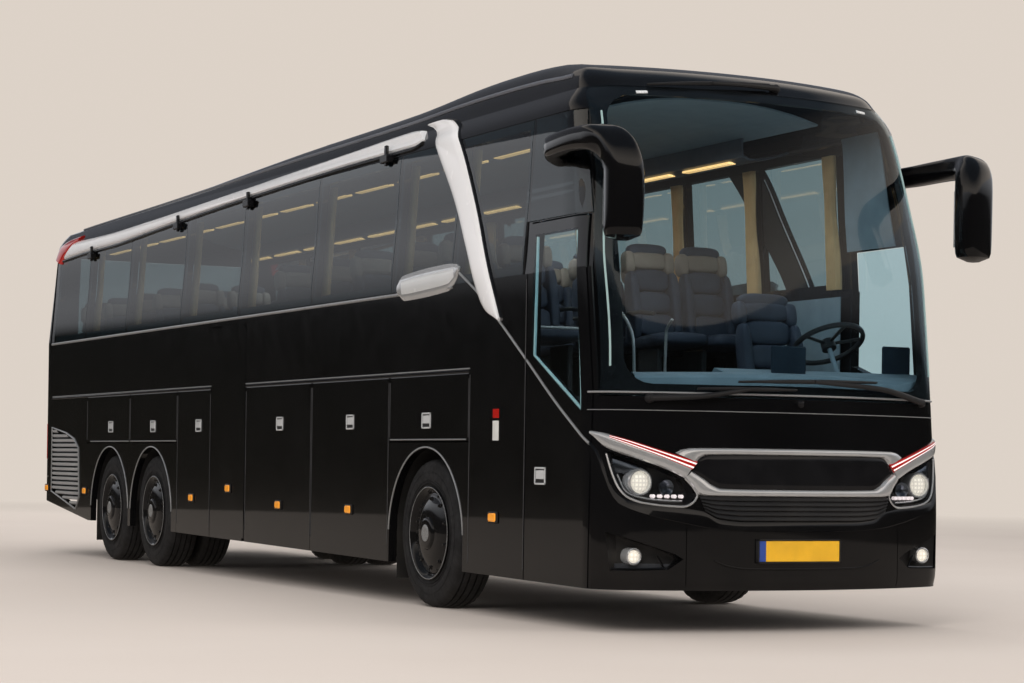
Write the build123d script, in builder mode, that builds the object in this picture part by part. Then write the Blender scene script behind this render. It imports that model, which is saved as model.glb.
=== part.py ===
"""Three-axle touring coach, full size, as an assembly of separate pieces.

Row frame in millimetres: +Z up from the ground, the front faces -Y, +X is the
coach's left side.  Places along the coach are written from the front axle
(rearwards positive) and moved into the row frame by at().
"""
from build123d import *
from math import sin, cos, radians, sqrt, hypot
import os

os.makedirs("parts", exist_ok=True)

# ---- overall sizes ----
FRONT_OVERHANG = 2870
WHEELBASE = 6350
TAG_SPACING = 1350
REAR_OVERHANG = 2545
MIRROR_REACH = 60          # mirrors ahead of the bumper
HALF_WIDTH = 1275
HEIGHT = 3880              # over the roof air-conditioning unit
WALL = 60                  # whole thickness of walls, doors and flaps
GLASS = 8                  # bonded panes, flush with the outer skin
GAP = 8                    # around every door and flap
FIT = 0.3                  # running clearance on pins and spindles

BODY_LENGTH = FRONT_OVERHANG + WHEELBASE + TAG_SPACING + REAR_OVERHANG
FRONT_AXLE_Y = FRONT_OVERHANG + MIRROR_REACH - (BODY_LENGTH + MIRROR_REACH) / 2
DRIVE = WHEELBASE
TAG = WHEELBASE + TAG_SPACING
REAR = TAG + REAR_OVERHANG

# ---- heights ----
SKIRT_FRONT = 262
SKIRT_RISE = 0.0101        # the sill climbs slowly towards the rear
BUMPER_TOP = 640
TRIM_Z = 1155              # joint above the wheel-arch panels
WAIST_Z = 1645             # joint along the top of the flaps
SCREEN_Z = 1440            # bottom of the windscreen
BELT_Z = 2235              # bottom of the side panes
CANTRAIL_Z = 3240          # top of the side panes
SCREEN_TOP = 3395
DECK_Z = 1480              # passenger floor
DECK_THICK = 40
BAY_Z = 400                # luggage bay floor
DOOR_TOP = 2560
MID_DOOR_TOP = 2165

# ---- joints between panels along the coach, from the front axle ----
DOOR_FRONT = -2440         # vertical up to the screen, then leaning back
DOOR_REAR = -1570
ARCH_FRONT = -715
ARCH_REAR = 655
BAY_2 = 2205
BAY_3 = 3735
MID_DOOR_REAR = 4635
REAR_PANEL = 5570
TWIN_JOINT = 7030
TAIL_PANEL = 8520
PANES = [-1500, -400, 655, 2260, 3970, 5530, 7230, 8650, 9830]

# ---- wheels ----
TYRE_R = 520
TYRE_W = 296
RIM_R = 292
TYRE_OUTER = HALF_WIDTH - 35   # outer face of the tyres from the centreline
ARCH_R = 636
ARCH_Z = 482
HUB_Z = TYRE_R
HUB_R = 120
SPINDLE_R = 55
KINGPIN_X = TYRE_OUTER - 315
PIN_R = 26
TWIN_SPACING = 335
RAIL_X = 480
RAIL_W = 80
RAIL_Z = (730, 860)

# ---- body outline, level by level ----
# z, half width, front, rear, share of the wall taken sideways, share taken down
LEVELS = [
    (200, HALF_WIDTH, -FRONT_OVERHANG, REAR, 1.0, 0.0),
    (BUMPER_TOP, HALF_WIDTH, -FRONT_OVERHANG, REAR, 1.0, 0.0),
    (SCREEN_Z, HALF_WIDTH, -FRONT_OVERHANG + 60, REAR, 1.0, 0.0),
    (BELT_Z, HALF_WIDTH, -FRONT_OVERHANG + 160, REAR, 1.0, 0.0),
    (2740, HALF_WIDTH * 0.97, -FRONT_OVERHANG + 285, REAR - 45, 1.0, 0.0),
    (CANTRAIL_Z, HALF_WIDTH * 0.945, -FRONT_OVERHANG + 470, REAR - 105, 1.0, 0.0),
    (SCREEN_TOP, HALF_WIDTH * 0.87, -FRONT_OVERHANG + 560, REAR - 155, 0.95, 0.3),
    (3530, HALF_WIDTH * 0.74, -FRONT_OVERHANG + 690, REAR - 255, 0.8, 0.6),
    (3645, HALF_WIDTH * 0.55, -FRONT_OVERHANG + 920, REAR - 445, 0.45, 0.9),
    (3718, HALF_WIDTH * 0.31, -FRONT_OVERHANG + 1270, REAR - 765, 0.3, 0.95),
    (3760, HALF_WIDTH * 0.12, -FRONT_OVERHANG + 1770, REAR - 1245, 0.25, 1.0),
]
FRONT_BOW = 2850           # plan radius of the front
REAR_BOW = 12000
FRONT_CORNER = 300
REAR_CORNER = 170


def at(distance):
    """Row-frame y of a place measured from the front axle."""
    return FRONT_AXLE_Y + distance


def skirt(distance):
    """Height of the sill at a distance from the front axle."""
    return SKIRT_FRONT + SKIRT_RISE * (distance - DOOR_FRONT)


def corner(half, end, bow, radius, away):
    """Tangent points and mid point of a corner arc between side and bowed end."""
    across = half - radius
    reach = sqrt((bow - radius) ** 2 - across ** 2)
    bow_y = end - away * bow
    centre_y = bow_y + away * reach
    nx, ny = across / (bow - radius), away * reach / (bow - radius)
    length = hypot(nx + 1, ny)
    mid = (across + radius * (nx + 1) / length, centre_y + radius * ny / length)
    return (half, centre_y), mid, (bow * nx, bow_y + bow * ny)


def hull(inset):
    """Solid inside the outer skin, moved in by inset."""
    with BuildPart() as body:
        for z, half, front, rear, sideways, down in LEVELS:
            h = half - inset * sideways
            f, r = at(front) + inset * sideways, at(rear) - inset * sideways
            s1, m1, t1 = corner(h, f, FRONT_BOW, min(FRONT_CORNER, 0.8 * h), -1)
            s2, m2, t2 = corner(h, r, REAR_BOW, min(REAR_CORNER, 0.8 * h), 1)
            with BuildSketch(Plane.XY.offset(z - inset * down)):
                with BuildLine():
                    Line(s1, s2)
                    ThreePointArc(s2, m2, t2)
                    ThreePointArc(t2, (0, r), (-t2[0], t2[1]))
                    ThreePointArc((-t2[0], t2[1]), (-m2[0], m2[1]), (-s2[0], s2[1]))
                    Line((-s2[0], s2[1]), (-s1[0], s1[1]))
                    ThreePointArc((-s1[0], s1[1]), (-m1[0], m1[1]), (-t1[0], t1[1]))
                    ThreePointArc((-t1[0], t1[1]), (0, f), t1)
                    ThreePointArc(t1, m1, s1)
                make_face()
        loft(ruled=True)
    return body.part


def block(x, y, z, mode=Mode.ADD):
    """Box from x[0] to x[1], y from the front axle, z from the ground."""
    low, high = min(x), max(x)
    with Locations(((low + high) / 2, at((y[0] + y[1]) / 2), (z[0] + z[1]) / 2)):
        Box(high - low, y[1] - y[0], z[1] - z[0], mode=mode)


def side_prism(points, x, mode=Mode.ADD):
    """Outline in (distance from front axle, height), extruded from x[0] to x[1]."""
    with BuildSketch(Plane.YZ.offset(min(x))) as profile:
        with BuildLine():
            Polyline([(at(d), z) for d, z in points], close=True)
        make_face()
    extrude(profile.sketch, amount=max(x) - min(x), mode=mode)


def cross_prism(points, y, mode=Mode.ADD):
    """Outline in (x, height), extruded from y[0] to y[1] measured from the front axle."""
    with BuildSketch(Plane.XZ.offset(-at(y[0]))) as profile:
        with BuildLine():
            Polyline(points, close=True)
        make_face()
    extrude(profile.sketch, amount=-(y[1] - y[0]), mode=mode)


def rod(start, end, radius, mode=Mode.ADD):
    """Straight round bar between two points given in the row frame."""
    way = Vector(*end) - Vector(*start)
    with BuildSketch(Plane(origin=start, z_dir=way)) as disc:
        Circle(radius)
    extrude(disc.sketch, amount=way.length, mode=mode)


def save(name, part):
    part.label = name
    export_step(part, f"parts/{name}.step")
    print(name, len(part.solids()), round(part.volume / 1e6, 1))


SIGN = {"left": 1, "right": -1}
SIDES = ("left", "right")
FAR = REAR + 500
NEAR = -FRONT_OVERHANG - 300
EDGE_REAR = REAR - 260                # the rear wall begins here
SCREEN_EDGE = -2470                   # side edge of the front pieces, at the bottom
LEAN = [(SCREEN_Z, 0), (DOOR_TOP, 150), (CANTRAIL_Z, 350), (SCREEN_TOP, 480)]
ARCH_CENTRES = (0, DRIVE, TAG)


def beyond(points):
    """Front-pieces region ahead of the leaning screen edge between two heights."""
    low, high = points
    edge = [(SCREEN_EDGE + back, z) for z, back in LEAN if low <= z <= high]
    if low < SCREEN_Z:
        edge = [(SCREEN_EDGE, low)] + edge
    if high < SCREEN_Z:
        edge = edge + [(SCREEN_EDGE, high)]
    return [(NEAR, low)] + edge + [(NEAR, high)]


UNDER = [(NEAR, skirt(NEAR)), (8440, skirt(8440)), (FAR, skirt(8440) + 0.105 * (FAR - 8440)),
         (FAR, 0), (NEAR, 0)]
FULL = (-1500, 1500)

OUTER = hull(0)
UNDER_GLASS = hull(GLASS)
INNER = hull(WALL)

with BuildPart() as skin:
    add(OUTER)
    add(UNDER_GLASS, mode=Mode.SUBTRACT)
with BuildPart() as frame_layer:
    add(UNDER_GLASS)
    add(INNER, mode=Mode.SUBTRACT)
with BuildPart() as shell:
    add(OUTER)
    add(INNER, mode=Mode.SUBTRACT)
    side_prism(UNDER, FULL, Mode.SUBTRACT)

# ---- flaps and doors ----
LID_THICK = 40
HINGE_R = LID_THICK / 2
HINGE_PIN_R = 7
HINGE_X = HALF_WIDTH - HINGE_R
HINGE_Z = WAIST_Z - GAP - HINGE_R
NOTCH = 14                            # room for the hinge webs at a lid's ends
WEB = 6
SEAT = 45                             # frame left behind the edge of a lid
WHEEL_LIDS = {"front": (ARCH_FRONT, ARCH_REAR), "drive": (REAR_PANEL, TWIN_JOINT),
              "tag": (TWIN_JOINT, TAIL_PANEL)}
FLAPS = {"right": [(ARCH_REAR, BAY_2), (BAY_2, BAY_3), (MID_DOOR_REAR, REAR_PANEL)],
         "left": [(ARCH_REAR, BAY_2), (BAY_2, BAY_3), (BAY_3, REAR_PANEL)]}
HINGE_RUNS = {
    "right": [[ARCH_FRONT, ARCH_REAR, BAY_2, BAY_3],
              [MID_DOOR_REAR, REAR_PANEL, TWIN_JOINT, TAIL_PANEL]],
    "left": [[ARCH_FRONT, ARCH_REAR, BAY_2, BAY_3, REAR_PANEL, TWIN_JOINT, TAIL_PANEL]],
}
OUT = HALF_WIDTH + 200
IN = HALF_WIDTH - WALL
LID_DEPTH = HALF_WIDTH - LID_THICK - 5


def lid(side, first, last, bottom):
    """Top-hung flap with a rounded, bored hinge edge."""
    s = SIGN[side]
    y = (first + GAP / 2, last - GAP / 2)
    start = (s * HINGE_X, at(y[0]), HINGE_Z)
    end = (s * HINGE_X, at(y[1]), HINGE_Z)
    with BuildPart() as panel:
        block((s * (HALF_WIDTH - LID_THICK), s * HALF_WIDTH), y, (bottom, HINGE_Z))
        rod(start, end, HINGE_R)
        rod(start, end, HINGE_PIN_R + FIT, Mode.SUBTRACT)
        for edge in (y[0], y[1] - NOTCH):
            block((s * IN, s * OUT), (edge, edge + NOTCH), (HINGE_Z - 28, WAIST_Z), Mode.SUBTRACT)
        side_prism(UNDER, FULL, Mode.SUBTRACT)
    return panel.part


def lid_hole(side, first, last, bottom):
    """Opening for a flap, with a frame left behind its edges."""
    s = SIGN[side]
    low = max(bottom, BAY_Z)
    block((s * LID_DEPTH, s * OUT), (first, last), (bottom, WAIST_Z), Mode.SUBTRACT)
    block((s * (HALF_WIDTH - 275), s * OUT), (first + SEAT, last - SEAT), (low, DECK_Z - DECK_THICK),
          Mode.SUBTRACT)


def hinge_run(side, joints):
    """One pin through neighbouring flaps, with a web at each joint."""
    s = SIGN[side]
    rod((s * HINGE_X, at(joints[0] - WEB), HINGE_Z), (s * HINGE_X, at(joints[-1] + WEB), HINGE_Z),
        HINGE_PIN_R)
    for joint in joints:
        block((s * LID_DEPTH, s * (HALF_WIDTH - 6)), (joint - WEB, joint + WEB),
              (HINGE_Z - 18, WAIST_Z + 1))


DOOR_GAP = 6


def door_prism(clear, mode):
    """Front door outline, grown by clear."""
    rear, front, top = DOOR_REAR + clear, DOOR_FRONT - clear, DOOR_TOP + clear
    points = [(rear, 0), (front, 0), (front, SCREEN_Z), (front + 150, top), (rear, top)]
    side_prism(points, (-OUT, -900), mode)


DOOR_GLASS = [(-1650, 1705), (-2330, 1345), (-2330, 1440), (-2215, 2480), (-1650, 2480)]
DRIVER_GLASS = [(-1580, 1720), (-2330, 1480), (-2215, 2500), (-1580, 2500)]
GRILLE = [(8780, 600), (8900, 480), (9840, 650), (9840, 1320), (9300, 1262),
          (8990, 1200), (8830, 1110)]
MID_HINGE_Y = BAY_3 + GAP + HINGE_R


def mid_door_frame():
    """Opening of the mid door, with its hinge pin and webs."""
    block((-OUT, -LID_DEPTH), (BAY_3, MID_DOOR_REAR), (0, MID_DOOR_TOP), Mode.SUBTRACT)
    block((-OUT, 275 - HALF_WIDTH), (BAY_3 + SEAT, MID_DOOR_REAR - SEAT), (BAY_Z, MID_DOOR_TOP - SEAT),
          Mode.SUBTRACT)
    rod((-HINGE_X, at(MID_HINGE_Y), skirt(BAY_3) + 4), (-HINGE_X, at(MID_HINGE_Y), MID_DOOR_TOP + 4),
        HINGE_PIN_R)
    for z in (skirt(BAY_3) + 4, MID_DOOR_TOP - 10):
        block((-HINGE_X - 6, -LID_DEPTH + 1), (MID_HINGE_Y - 10, MID_HINGE_Y + 10), (z, z + 12))


PANE_TOP = CANTRAIL_Z - 4
REAR_GLASS_X = HALF_WIDTH - 345
REAR_GLASS_Z = (2290, 3170)


def side_wall(side):
    s = SIGN[side]
    x = (s * 600, s * 1500)
    with BuildPart() as lower:
        add(shell.part)
        block(x, (NEAR, EDGE_REAR), (0, BELT_Z), Mode.INTERSECT)
    with BuildPart() as wall:
        add(frame_layer.part)
        block(x, (NEAR, EDGE_REAR), (BELT_Z, CANTRAIL_Z), Mode.INTERSECT)
        for first, last in zip(PANES, PANES[1:]):
            block((s * 900, s * OUT), (first + 55, last - 55), (BELT_Z + 60, CANTRAIL_Z - 60),
                  Mode.SUBTRACT)
        add(lower.part)
        side_prism(beyond((0, SCREEN_TOP)), x, Mode.SUBTRACT)
        for distance in ARCH_CENTRES:
            with BuildSketch(Plane.YZ.offset(min(x))) as arch:
                with Locations((at(distance), ARCH_Z)):
                    Circle(ARCH_R)
                with Locations((at(distance), ARCH_Z / 2)):
                    Rectangle(2 * ARCH_R, ARCH_Z)
            extrude(arch.sketch, amount=900, mode=Mode.SUBTRACT)
        for first, last in WHEEL_LIDS.values():
            lid_hole(side, first, last, TRIM_Z)
        for first, last in FLAPS[side]:
            lid_hole(side, first, last, 0)
        for joints in HINGE_RUNS[side]:
            hinge_run(side, joints)
        side_prism(GRILLE, x, Mode.SUBTRACT)
        if side == "right":
            door_prism(DOOR_GAP, Mode.SUBTRACT)
            mid_door_frame()
        else:
            side_prism(DRIVER_GLASS, x, Mode.SUBTRACT)
    return wall.part


for side in SIDES:
    save(f"side_wall_{side}", side_wall(side))

def pane(x, y, z):
    """Piece of the outer skin inside a box."""
    with BuildPart() as glass:
        add(skin.part)
        block(x, y, z, Mode.INTERSECT)
    return glass.part


def over_door_pane(side):
    """Fixed pane above the door line, cut back to the screen's edge."""
    x = (SIGN[side] * 600, SIGN[side] * 1500)
    with BuildPart() as glass:
        add(skin.part)
        block(x, (NEAR, PANES[0] - 3), (DOOR_TOP + 14, PANE_TOP), Mode.INTERSECT)
        side_prism(beyond((0, SCREEN_TOP)), FULL, Mode.SUBTRACT)
    return glass.part


panes = [over_door_pane(side) for side in SIDES]
for s in SIGN.values():
    for first, last in zip(PANES, PANES[1:]):
        panes.append(pane((s * 600, s * 1500), (first + 3, last - 3), (BELT_Z + 2, PANE_TOP)))
panes.append(pane((-REAR_GLASS_X, REAR_GLASS_X), (EDGE_REAR, FAR), REAR_GLASS_Z))
with BuildPart() as driver_pane:
    add(skin.part)
    side_prism(DRIVER_GLASS, (600, 1500), Mode.INTERSECT)
with BuildPart() as windows:
    add(panes)
    add(driver_pane.part)
save("windows", windows.part)

# ---- front: windscreen, its frame, mask, bumper ----
SCREEN_REGION = beyond((SCREEN_Z, SCREEN_TOP))
with BuildPart() as windscreen:
    add(skin.part)
    side_prism(SCREEN_REGION, FULL, Mode.INTERSECT)
save("windscreen", windscreen.part)

with BuildPart() as front_frame:
    add(frame_layer.part)
    side_prism(SCREEN_REGION, FULL, Mode.INTERSECT)
    block((190 - HALF_WIDTH, HALF_WIDTH - 190), (NEAR, -1500),
          (SCREEN_Z + 60, SCREEN_TOP - 90), Mode.SUBTRACT)
save("front_frame", front_frame.part)

# x and height of the corners, both sides alike
HEADLAMP = [(HALF_WIDTH - 70, 1100), (HALF_WIDTH - 100, 985), (HALF_WIDTH - 120, 905),
            (HALF_WIDTH - 180, 830), (HALF_WIDTH - 290, 800), (805, 785), (705, 842), (778, 945)]
FOG = (HALF_WIDTH - 215, 455, 62)                 # x, z, radius
PLATE = (520, 110)
PLATE_Z = 485
PLATE_HOLES = 380
with BuildPart() as front_mask:
    add(shell.part)
    side_prism(beyond((BUMPER_TOP + 3, SCREEN_Z - 3)), FULL, Mode.INTERSECT)
    for s in SIGN.values():
        cross_prism([(s * x, z) for x, z in HEADLAMP], (NEAR, -2300), Mode.SUBTRACT)
save("front_mask", front_mask.part)

with BuildPart() as front_bumper:
    add(shell.part)
    side_prism(beyond((0, BUMPER_TOP)), FULL, Mode.INTERSECT)
    block((-PLATE[0] / 2 - 12, PLATE[0] / 2 + 12), (-FRONT_OVERHANG - 12, -FRONT_OVERHANG + 20),
          (PLATE_Z - PLATE[1] / 2 - 10, PLATE_Z + PLATE[1] / 2 + 10))
    for s in SIGN.values():
        rod((s * FOG[0], at(NEAR), FOG[1]), (s * FOG[0], at(-2300), FOG[1]), FOG[2], Mode.SUBTRACT)
        rod((s * PLATE_HOLES / 2, at(NEAR), PLATE_Z), (s * PLATE_HOLES / 2, at(-2700), PLATE_Z),
            3.5, Mode.SUBTRACT)
save("front_bumper", front_bumper.part)

# ---- rear: wall, bumper, lid, window ----
LID_X = HALF_WIDTH - 475
ENGINE_LID_Z = (830, 1585)
ENGINE_HINGE = (REAR - 48, 1585)
REAR_BUMPER_TOP = 800
TAIL_LAMP_Z = (985, 1375)
TAIL_LAMP_X = HALF_WIDTH - 195
with BuildPart() as rear_wall:
    add(shell.part)
    block(FULL, (EDGE_REAR, FAR), (REAR_BUMPER_TOP + 3, CANTRAIL_Z), Mode.INTERSECT)
    block((-LID_X - 8, LID_X + 8), (EDGE_REAR, FAR), (ENGINE_LID_Z[0] - 8, WAIST_Z), Mode.SUBTRACT)
    block((-REAR_GLASS_X, REAR_GLASS_X), (EDGE_REAR, FAR), REAR_GLASS_Z, Mode.SUBTRACT)
    for s in SIGN.values():
        block((s * TAIL_LAMP_X, s * OUT), (REAR - 200, FAR), TAIL_LAMP_Z, Mode.SUBTRACT)
    rod((-LID_X - 20, at(ENGINE_HINGE[0]), ENGINE_HINGE[1]),
        (LID_X + 20, at(ENGINE_HINGE[0]), ENGINE_HINGE[1]), 8)
save("rear_wall", rear_wall.part)

with BuildPart() as rear_bumper:
    add(shell.part)
    block(FULL, (EDGE_REAR, FAR), (0, REAR_BUMPER_TOP), Mode.INTERSECT)
    for s in SIGN.values():
        rod((s * PLATE_HOLES / 2, at(EDGE_REAR), 740), (s * PLATE_HOLES / 2, at(FAR), 740), 3.5,
            Mode.SUBTRACT)
save("rear_bumper", rear_bumper.part)

with BuildPart() as engine_lid:
    add(shell.part)
    block((-LID_X, LID_X), (EDGE_REAR, FAR), ENGINE_LID_Z, Mode.INTERSECT)
    rod((-LID_X, at(ENGINE_HINGE[0]), ENGINE_HINGE[1]), (LID_X, at(ENGINE_HINGE[0]), ENGINE_HINGE[1]), 16)
    rod((-LID_X, at(ENGINE_HINGE[0]), ENGINE_HINGE[1]), (LID_X, at(ENGINE_HINGE[0]), ENGINE_HINGE[1]),
        8 + FIT, Mode.SUBTRACT)
save("engine_lid", engine_lid.part)

# ---- roof and its air-conditioning unit ----
AC_HALF = 420
AC_RADIUS = 636
AC_RUN = (2900, 5100)
with BuildPart() as air_unit:
    rod((0, at(AC_RUN[0]), HEIGHT - AC_RADIUS), (0, at(AC_RUN[1]), HEIGHT - AC_RADIUS), AC_RADIUS)
    block((-AC_HALF, AC_HALF), AC_RUN, (3600, HEIGHT + 10), Mode.INTERSECT)
    add(UNDER_GLASS, mode=Mode.SUBTRACT)
with BuildPart() as roof:
    add(shell.part)
    block(FULL, (NEAR, FAR), (CANTRAIL_Z, HEIGHT + 100), Mode.INTERSECT)
    add(windscreen.part, mode=Mode.SUBTRACT)
    add(front_frame.part, mode=Mode.SUBTRACT)
    add(air_unit.part)
save("roof", roof.part)

# ---- lamps ----
def headlamp(s):
    with BuildPart() as lamp:
        add(shell.part)
        cross_prism([(s * x, z) for x, z in HEADLAMP], (NEAR, SCREEN_EDGE - 4), Mode.INTERSECT)
    return lamp.part


def fog_lamp(s):
    x, z, radius = FOG
    with BuildPart() as lamp:
        add(shell.part)
        rod((s * x, at(NEAR), z), (s * x, at(SCREEN_EDGE - 4), z), radius - FIT, Mode.INTERSECT)
    return lamp.part


def tail_lamp(s):
    with BuildPart() as lamp:
        add(shell.part)
        block((s * TAIL_LAMP_X, s * OUT), (REAR - 200, FAR), TAIL_LAMP_Z, Mode.INTERSECT)
    return lamp.part


lamp_parts = [make(s) for s in SIGN.values() for make in (headlamp, fog_lamp, tail_lamp)]
with BuildPart() as lamps:
    add(lamp_parts)
save("lamps", lamps.part)

# ---- side grilles in front of the rear corners ----
with BuildPart() as side_grilles:
    for s in SIGN.values():
        side_prism(GRILLE, (s * (HALF_WIDTH - 40), s * (HALF_WIDTH - 8)))
save("side_grilles", side_grilles.part)

# ---- flaps ----
for side in SIDES:
    for place, (first, last) in WHEEL_LIDS.items():
        save(f"{place}_wheel_lid_{side}", lid(side, first, last, TRIM_Z + GAP))
    for number, (first, last) in enumerate(FLAPS[side], 1):
        save(f"luggage_flap_{side}_{number}", lid(side, first, last, 200))

# ---- front door, its glass, post and arm ----
ARM_LENGTH = 430
POST = (115 - HALF_WIDTH, DOOR_FRONT + 150)      # x and place along the coach of the door column
ARM_Z = (900, 940)
with BuildPart() as front_door:
    add(shell.part)
    door_prism(-DOOR_GAP, Mode.INTERSECT)
    side_prism(DOOR_GLASS, (-OUT, -900), Mode.SUBTRACT)
    block((-IN - 5, POST[0] - 16), (POST[1] + ARM_LENGTH - 20, POST[1] + ARM_LENGTH + 20), (860, 895))
    block((POST[0] - 20, POST[0] + 16), (POST[1] + ARM_LENGTH - 20, POST[1] + ARM_LENGTH + 20), (860, 895))
    rod((POST[0], at(POST[1] + ARM_LENGTH), 890), (POST[0], at(POST[1] + ARM_LENGTH), ARM_Z[1]), 12)
save("front_door", front_door.part)

with BuildPart() as front_door_glass:
    add(skin.part)
    side_prism(DOOR_GLASS, (-OUT, -900), Mode.INTERSECT)
save("front_door_glass", front_door_glass.part)

with BuildPart() as front_door_arm:
    block((POST[0] - 15, POST[0] + 15), (POST[1] + 20, POST[1] + ARM_LENGTH - 10), ARM_Z)
    for reach, radius in ((0, 36), (ARM_LENGTH, 24)):
        rod((POST[0], at(POST[1] + reach), ARM_Z[0]), (POST[0], at(POST[1] + reach), ARM_Z[1]), radius)
    rod((POST[0], at(POST[1]), 800), (POST[0], at(POST[1]), 1000), 22 + FIT, Mode.SUBTRACT)
    rod((POST[0], at(POST[1] + ARM_LENGTH), 800), (POST[0], at(POST[1] + ARM_LENGTH), 1000),
        12 + FIT, Mode.SUBTRACT)
save("front_door_arm", front_door_arm.part)

# ---- mid door ----
with BuildPart() as mid_door:
    block((-HALF_WIDTH, -HALF_WIDTH + LID_THICK), (MID_HINGE_Y, MID_DOOR_REAR - GAP),
          (skirt(BAY_3), MID_DOOR_TOP - GAP))
    rod((-HINGE_X, at(MID_HINGE_Y), skirt(BAY_3) + 20), (-HINGE_X, at(MID_HINGE_Y), MID_DOOR_TOP - 15),
        HINGE_R)
    rod((-HINGE_X, at(MID_HINGE_Y), 0), (-HINGE_X, at(MID_HINGE_Y), 3000), HINGE_PIN_R + FIT,
        Mode.SUBTRACT)
    for z in (skirt(BAY_3), MID_DOOR_TOP - 15):
        block((-OUT, -IN), (MID_HINGE_Y - 30, MID_HINGE_Y + 30), (z - 5, z + 25), Mode.SUBTRACT)
    side_prism(UNDER, FULL, Mode.SUBTRACT)
save("mid_door", mid_door.part)

# ---- floor: deck, driver's platform, entrance and both stairs ----
PLATFORM_Z = 1040
PLATE_T = 40
ENTRY_Z = 420
STAIR_X = -330                        # inner edge of the front stairwell
STAIR_FOOT = -1560
BULKHEAD = -700
DECK_END = REAR - 345
MID_WELL_X = -480
MID_FOOT_X = 275 - HALF_WIDTH
MID_WELL = (BAY_3 + 60, MID_DOOR_REAR - 60)
STEPS = 5
STEP_DROP = 60                        # how far the stair plate reaches below its treads


def flight(foot, head, low, high):
    """Outline of a flight of steps, solid down to below its lowest tread."""
    run, rise = (head - foot) / STEPS, (high - low) / STEPS
    points = [(foot, low - STEP_DROP)]
    for step in range(STEPS):
        points += [(foot + run * step, low + rise * (step + 1)),
                   (foot + run * (step + 1), low + rise * (step + 1))]
    return points + [(head, high - STEP_DROP - 150)]


with BuildPart() as floor:
    block((-IN, IN), (BULKHEAD, DECK_END), (DECK_Z - DECK_THICK, DECK_Z))
    block((-OUT, MID_WELL_X), MID_WELL, (1000, 1600), Mode.SUBTRACT)
    for place in (MID_WELL[0] - PLATE_T, MID_WELL[1]):
        block((-IN, MID_WELL_X + PLATE_T), (place, place + PLATE_T), (BAY_Z, DECK_Z))
    cross_prism(flight(MID_FOOT_X, MID_WELL_X, BAY_Z + STEP_DROP, DECK_Z), MID_WELL)
    block((-IN, STAIR_X), (BULKHEAD - 40, BULKHEAD), (BAY_Z, DECK_Z))
    block((STAIR_X, IN), (BULKHEAD - 40, BULKHEAD), (PLATFORM_Z - PLATE_T, DECK_Z))
    block((STAIR_X - PLATE_T, IN), (-FRONT_OVERHANG, BULKHEAD), (PLATFORM_Z - PLATE_T, PLATFORM_Z))
    block((STAIR_X - PLATE_T, STAIR_X), (-FRONT_OVERHANG, BULKHEAD), (ENTRY_Z - PLATE_T, PLATFORM_Z))
    block((-IN, STAIR_X), (-FRONT_OVERHANG, BULKHEAD), (ENTRY_Z - PLATE_T, ENTRY_Z))
    side_prism(flight(STAIR_FOOT, BULKHEAD, ENTRY_Z, DECK_Z), (-IN, STAIR_X))
    rod((POST[0], at(POST[1]), ENTRY_Z - 10), (POST[0], at(POST[1]), 1500), 22)
    rod((POST[0], at(POST[1]), ENTRY_Z - 10), (POST[0], at(POST[1]), ARM_Z[0] - 1), 34)
    add(INNER, mode=Mode.INTERSECT)
save("floor", floor.part)

# ---- underframe ----
BAY_TRAY = (BAY_Z - PLATE_T, BAY_Z)
RAIL_FRONT = -2500
with BuildPart() as underframe:
    block((-IN, IN), (ARCH_REAR + 8, REAR_PANEL - 8), BAY_TRAY)
    for place in (ARCH_REAR + 8, REAR_PANEL - 48):
        block((-IN, IN), (place, place + PLATE_T), (BAY_TRAY[0], DECK_Z - DECK_THICK))
    for s in SIGN.values():
        rail = (s * (RAIL_X - RAIL_W / 2), s * (RAIL_X + RAIL_W / 2))
        block(rail, (BULKHEAD, ARCH_REAR + 10), RAIL_Z)
        block(rail, (REAR_PANEL - 20, REAR - 320), RAIL_Z)
        block((s * 100, s * 180), (BULKHEAD, ARCH_REAR + 10), (RAIL_Z[1] - 60, RAIL_Z[1]))
    block((RAIL_X - RAIL_W / 2, RAIL_X + RAIL_W / 2), (RAIL_FRONT, BULKHEAD), RAIL_Z)
    block((STAIR_X, IN), (RAIL_FRONT - 80, RAIL_FRONT), RAIL_Z)
    for place in (BULKHEAD, -80, 560):
        block((-IN if place == BULKHEAD else -RAIL_X, IN if place == BULKHEAD else RAIL_X),
              (place, place + 60), (RAIL_Z[1] - 60, RAIL_Z[1]))
    for place in (7000, 8440, REAR - 400):
        block((-IN, IN) if place > 8400 else (-RAIL_X, RAIL_X), (place, place + 80),
              (RAIL_Z[0] + 10, RAIL_Z[1]))
    add(INNER, mode=Mode.INTERSECT)
save("underframe", underframe.part)

# ---- axles ----
BOSS_H = 140
BOSS_R = 50
SPRING_Z = 560


def air_springs(distance, places, x, radius):
    """Bellows between the axle and the rails."""
    for s in SIGN.values():
        for place in places:
            rod((s * x, at(distance + place), SPRING_Z), (s * x, at(distance + place), RAIL_Z[0]),
                radius)
        block((s * (x - 60), s * (x + 60)), (distance + places[0] - 60, distance + places[-1] + 60),
              (SPRING_Z - 40, SPRING_Z))


def steering_axle(distance):
    with BuildPart() as axle:
        block((-KINGPIN_X, KINGPIN_X), (distance - 45, distance + 45), (HUB_Z - 55, HUB_Z + 45))
        air_springs(distance, (-250, 250), RAIL_X - 50, 85)
        for s in SIGN.values():
            rod((s * KINGPIN_X, at(distance), HUB_Z - BOSS_H / 2),
                (s * KINGPIN_X, at(distance), HUB_Z + BOSS_H / 2), BOSS_R)
            rod((s * KINGPIN_X, at(distance), 0), (s * KINGPIN_X, at(distance), 1100), PIN_R + FIT,
                Mode.SUBTRACT)
    return axle.part


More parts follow.
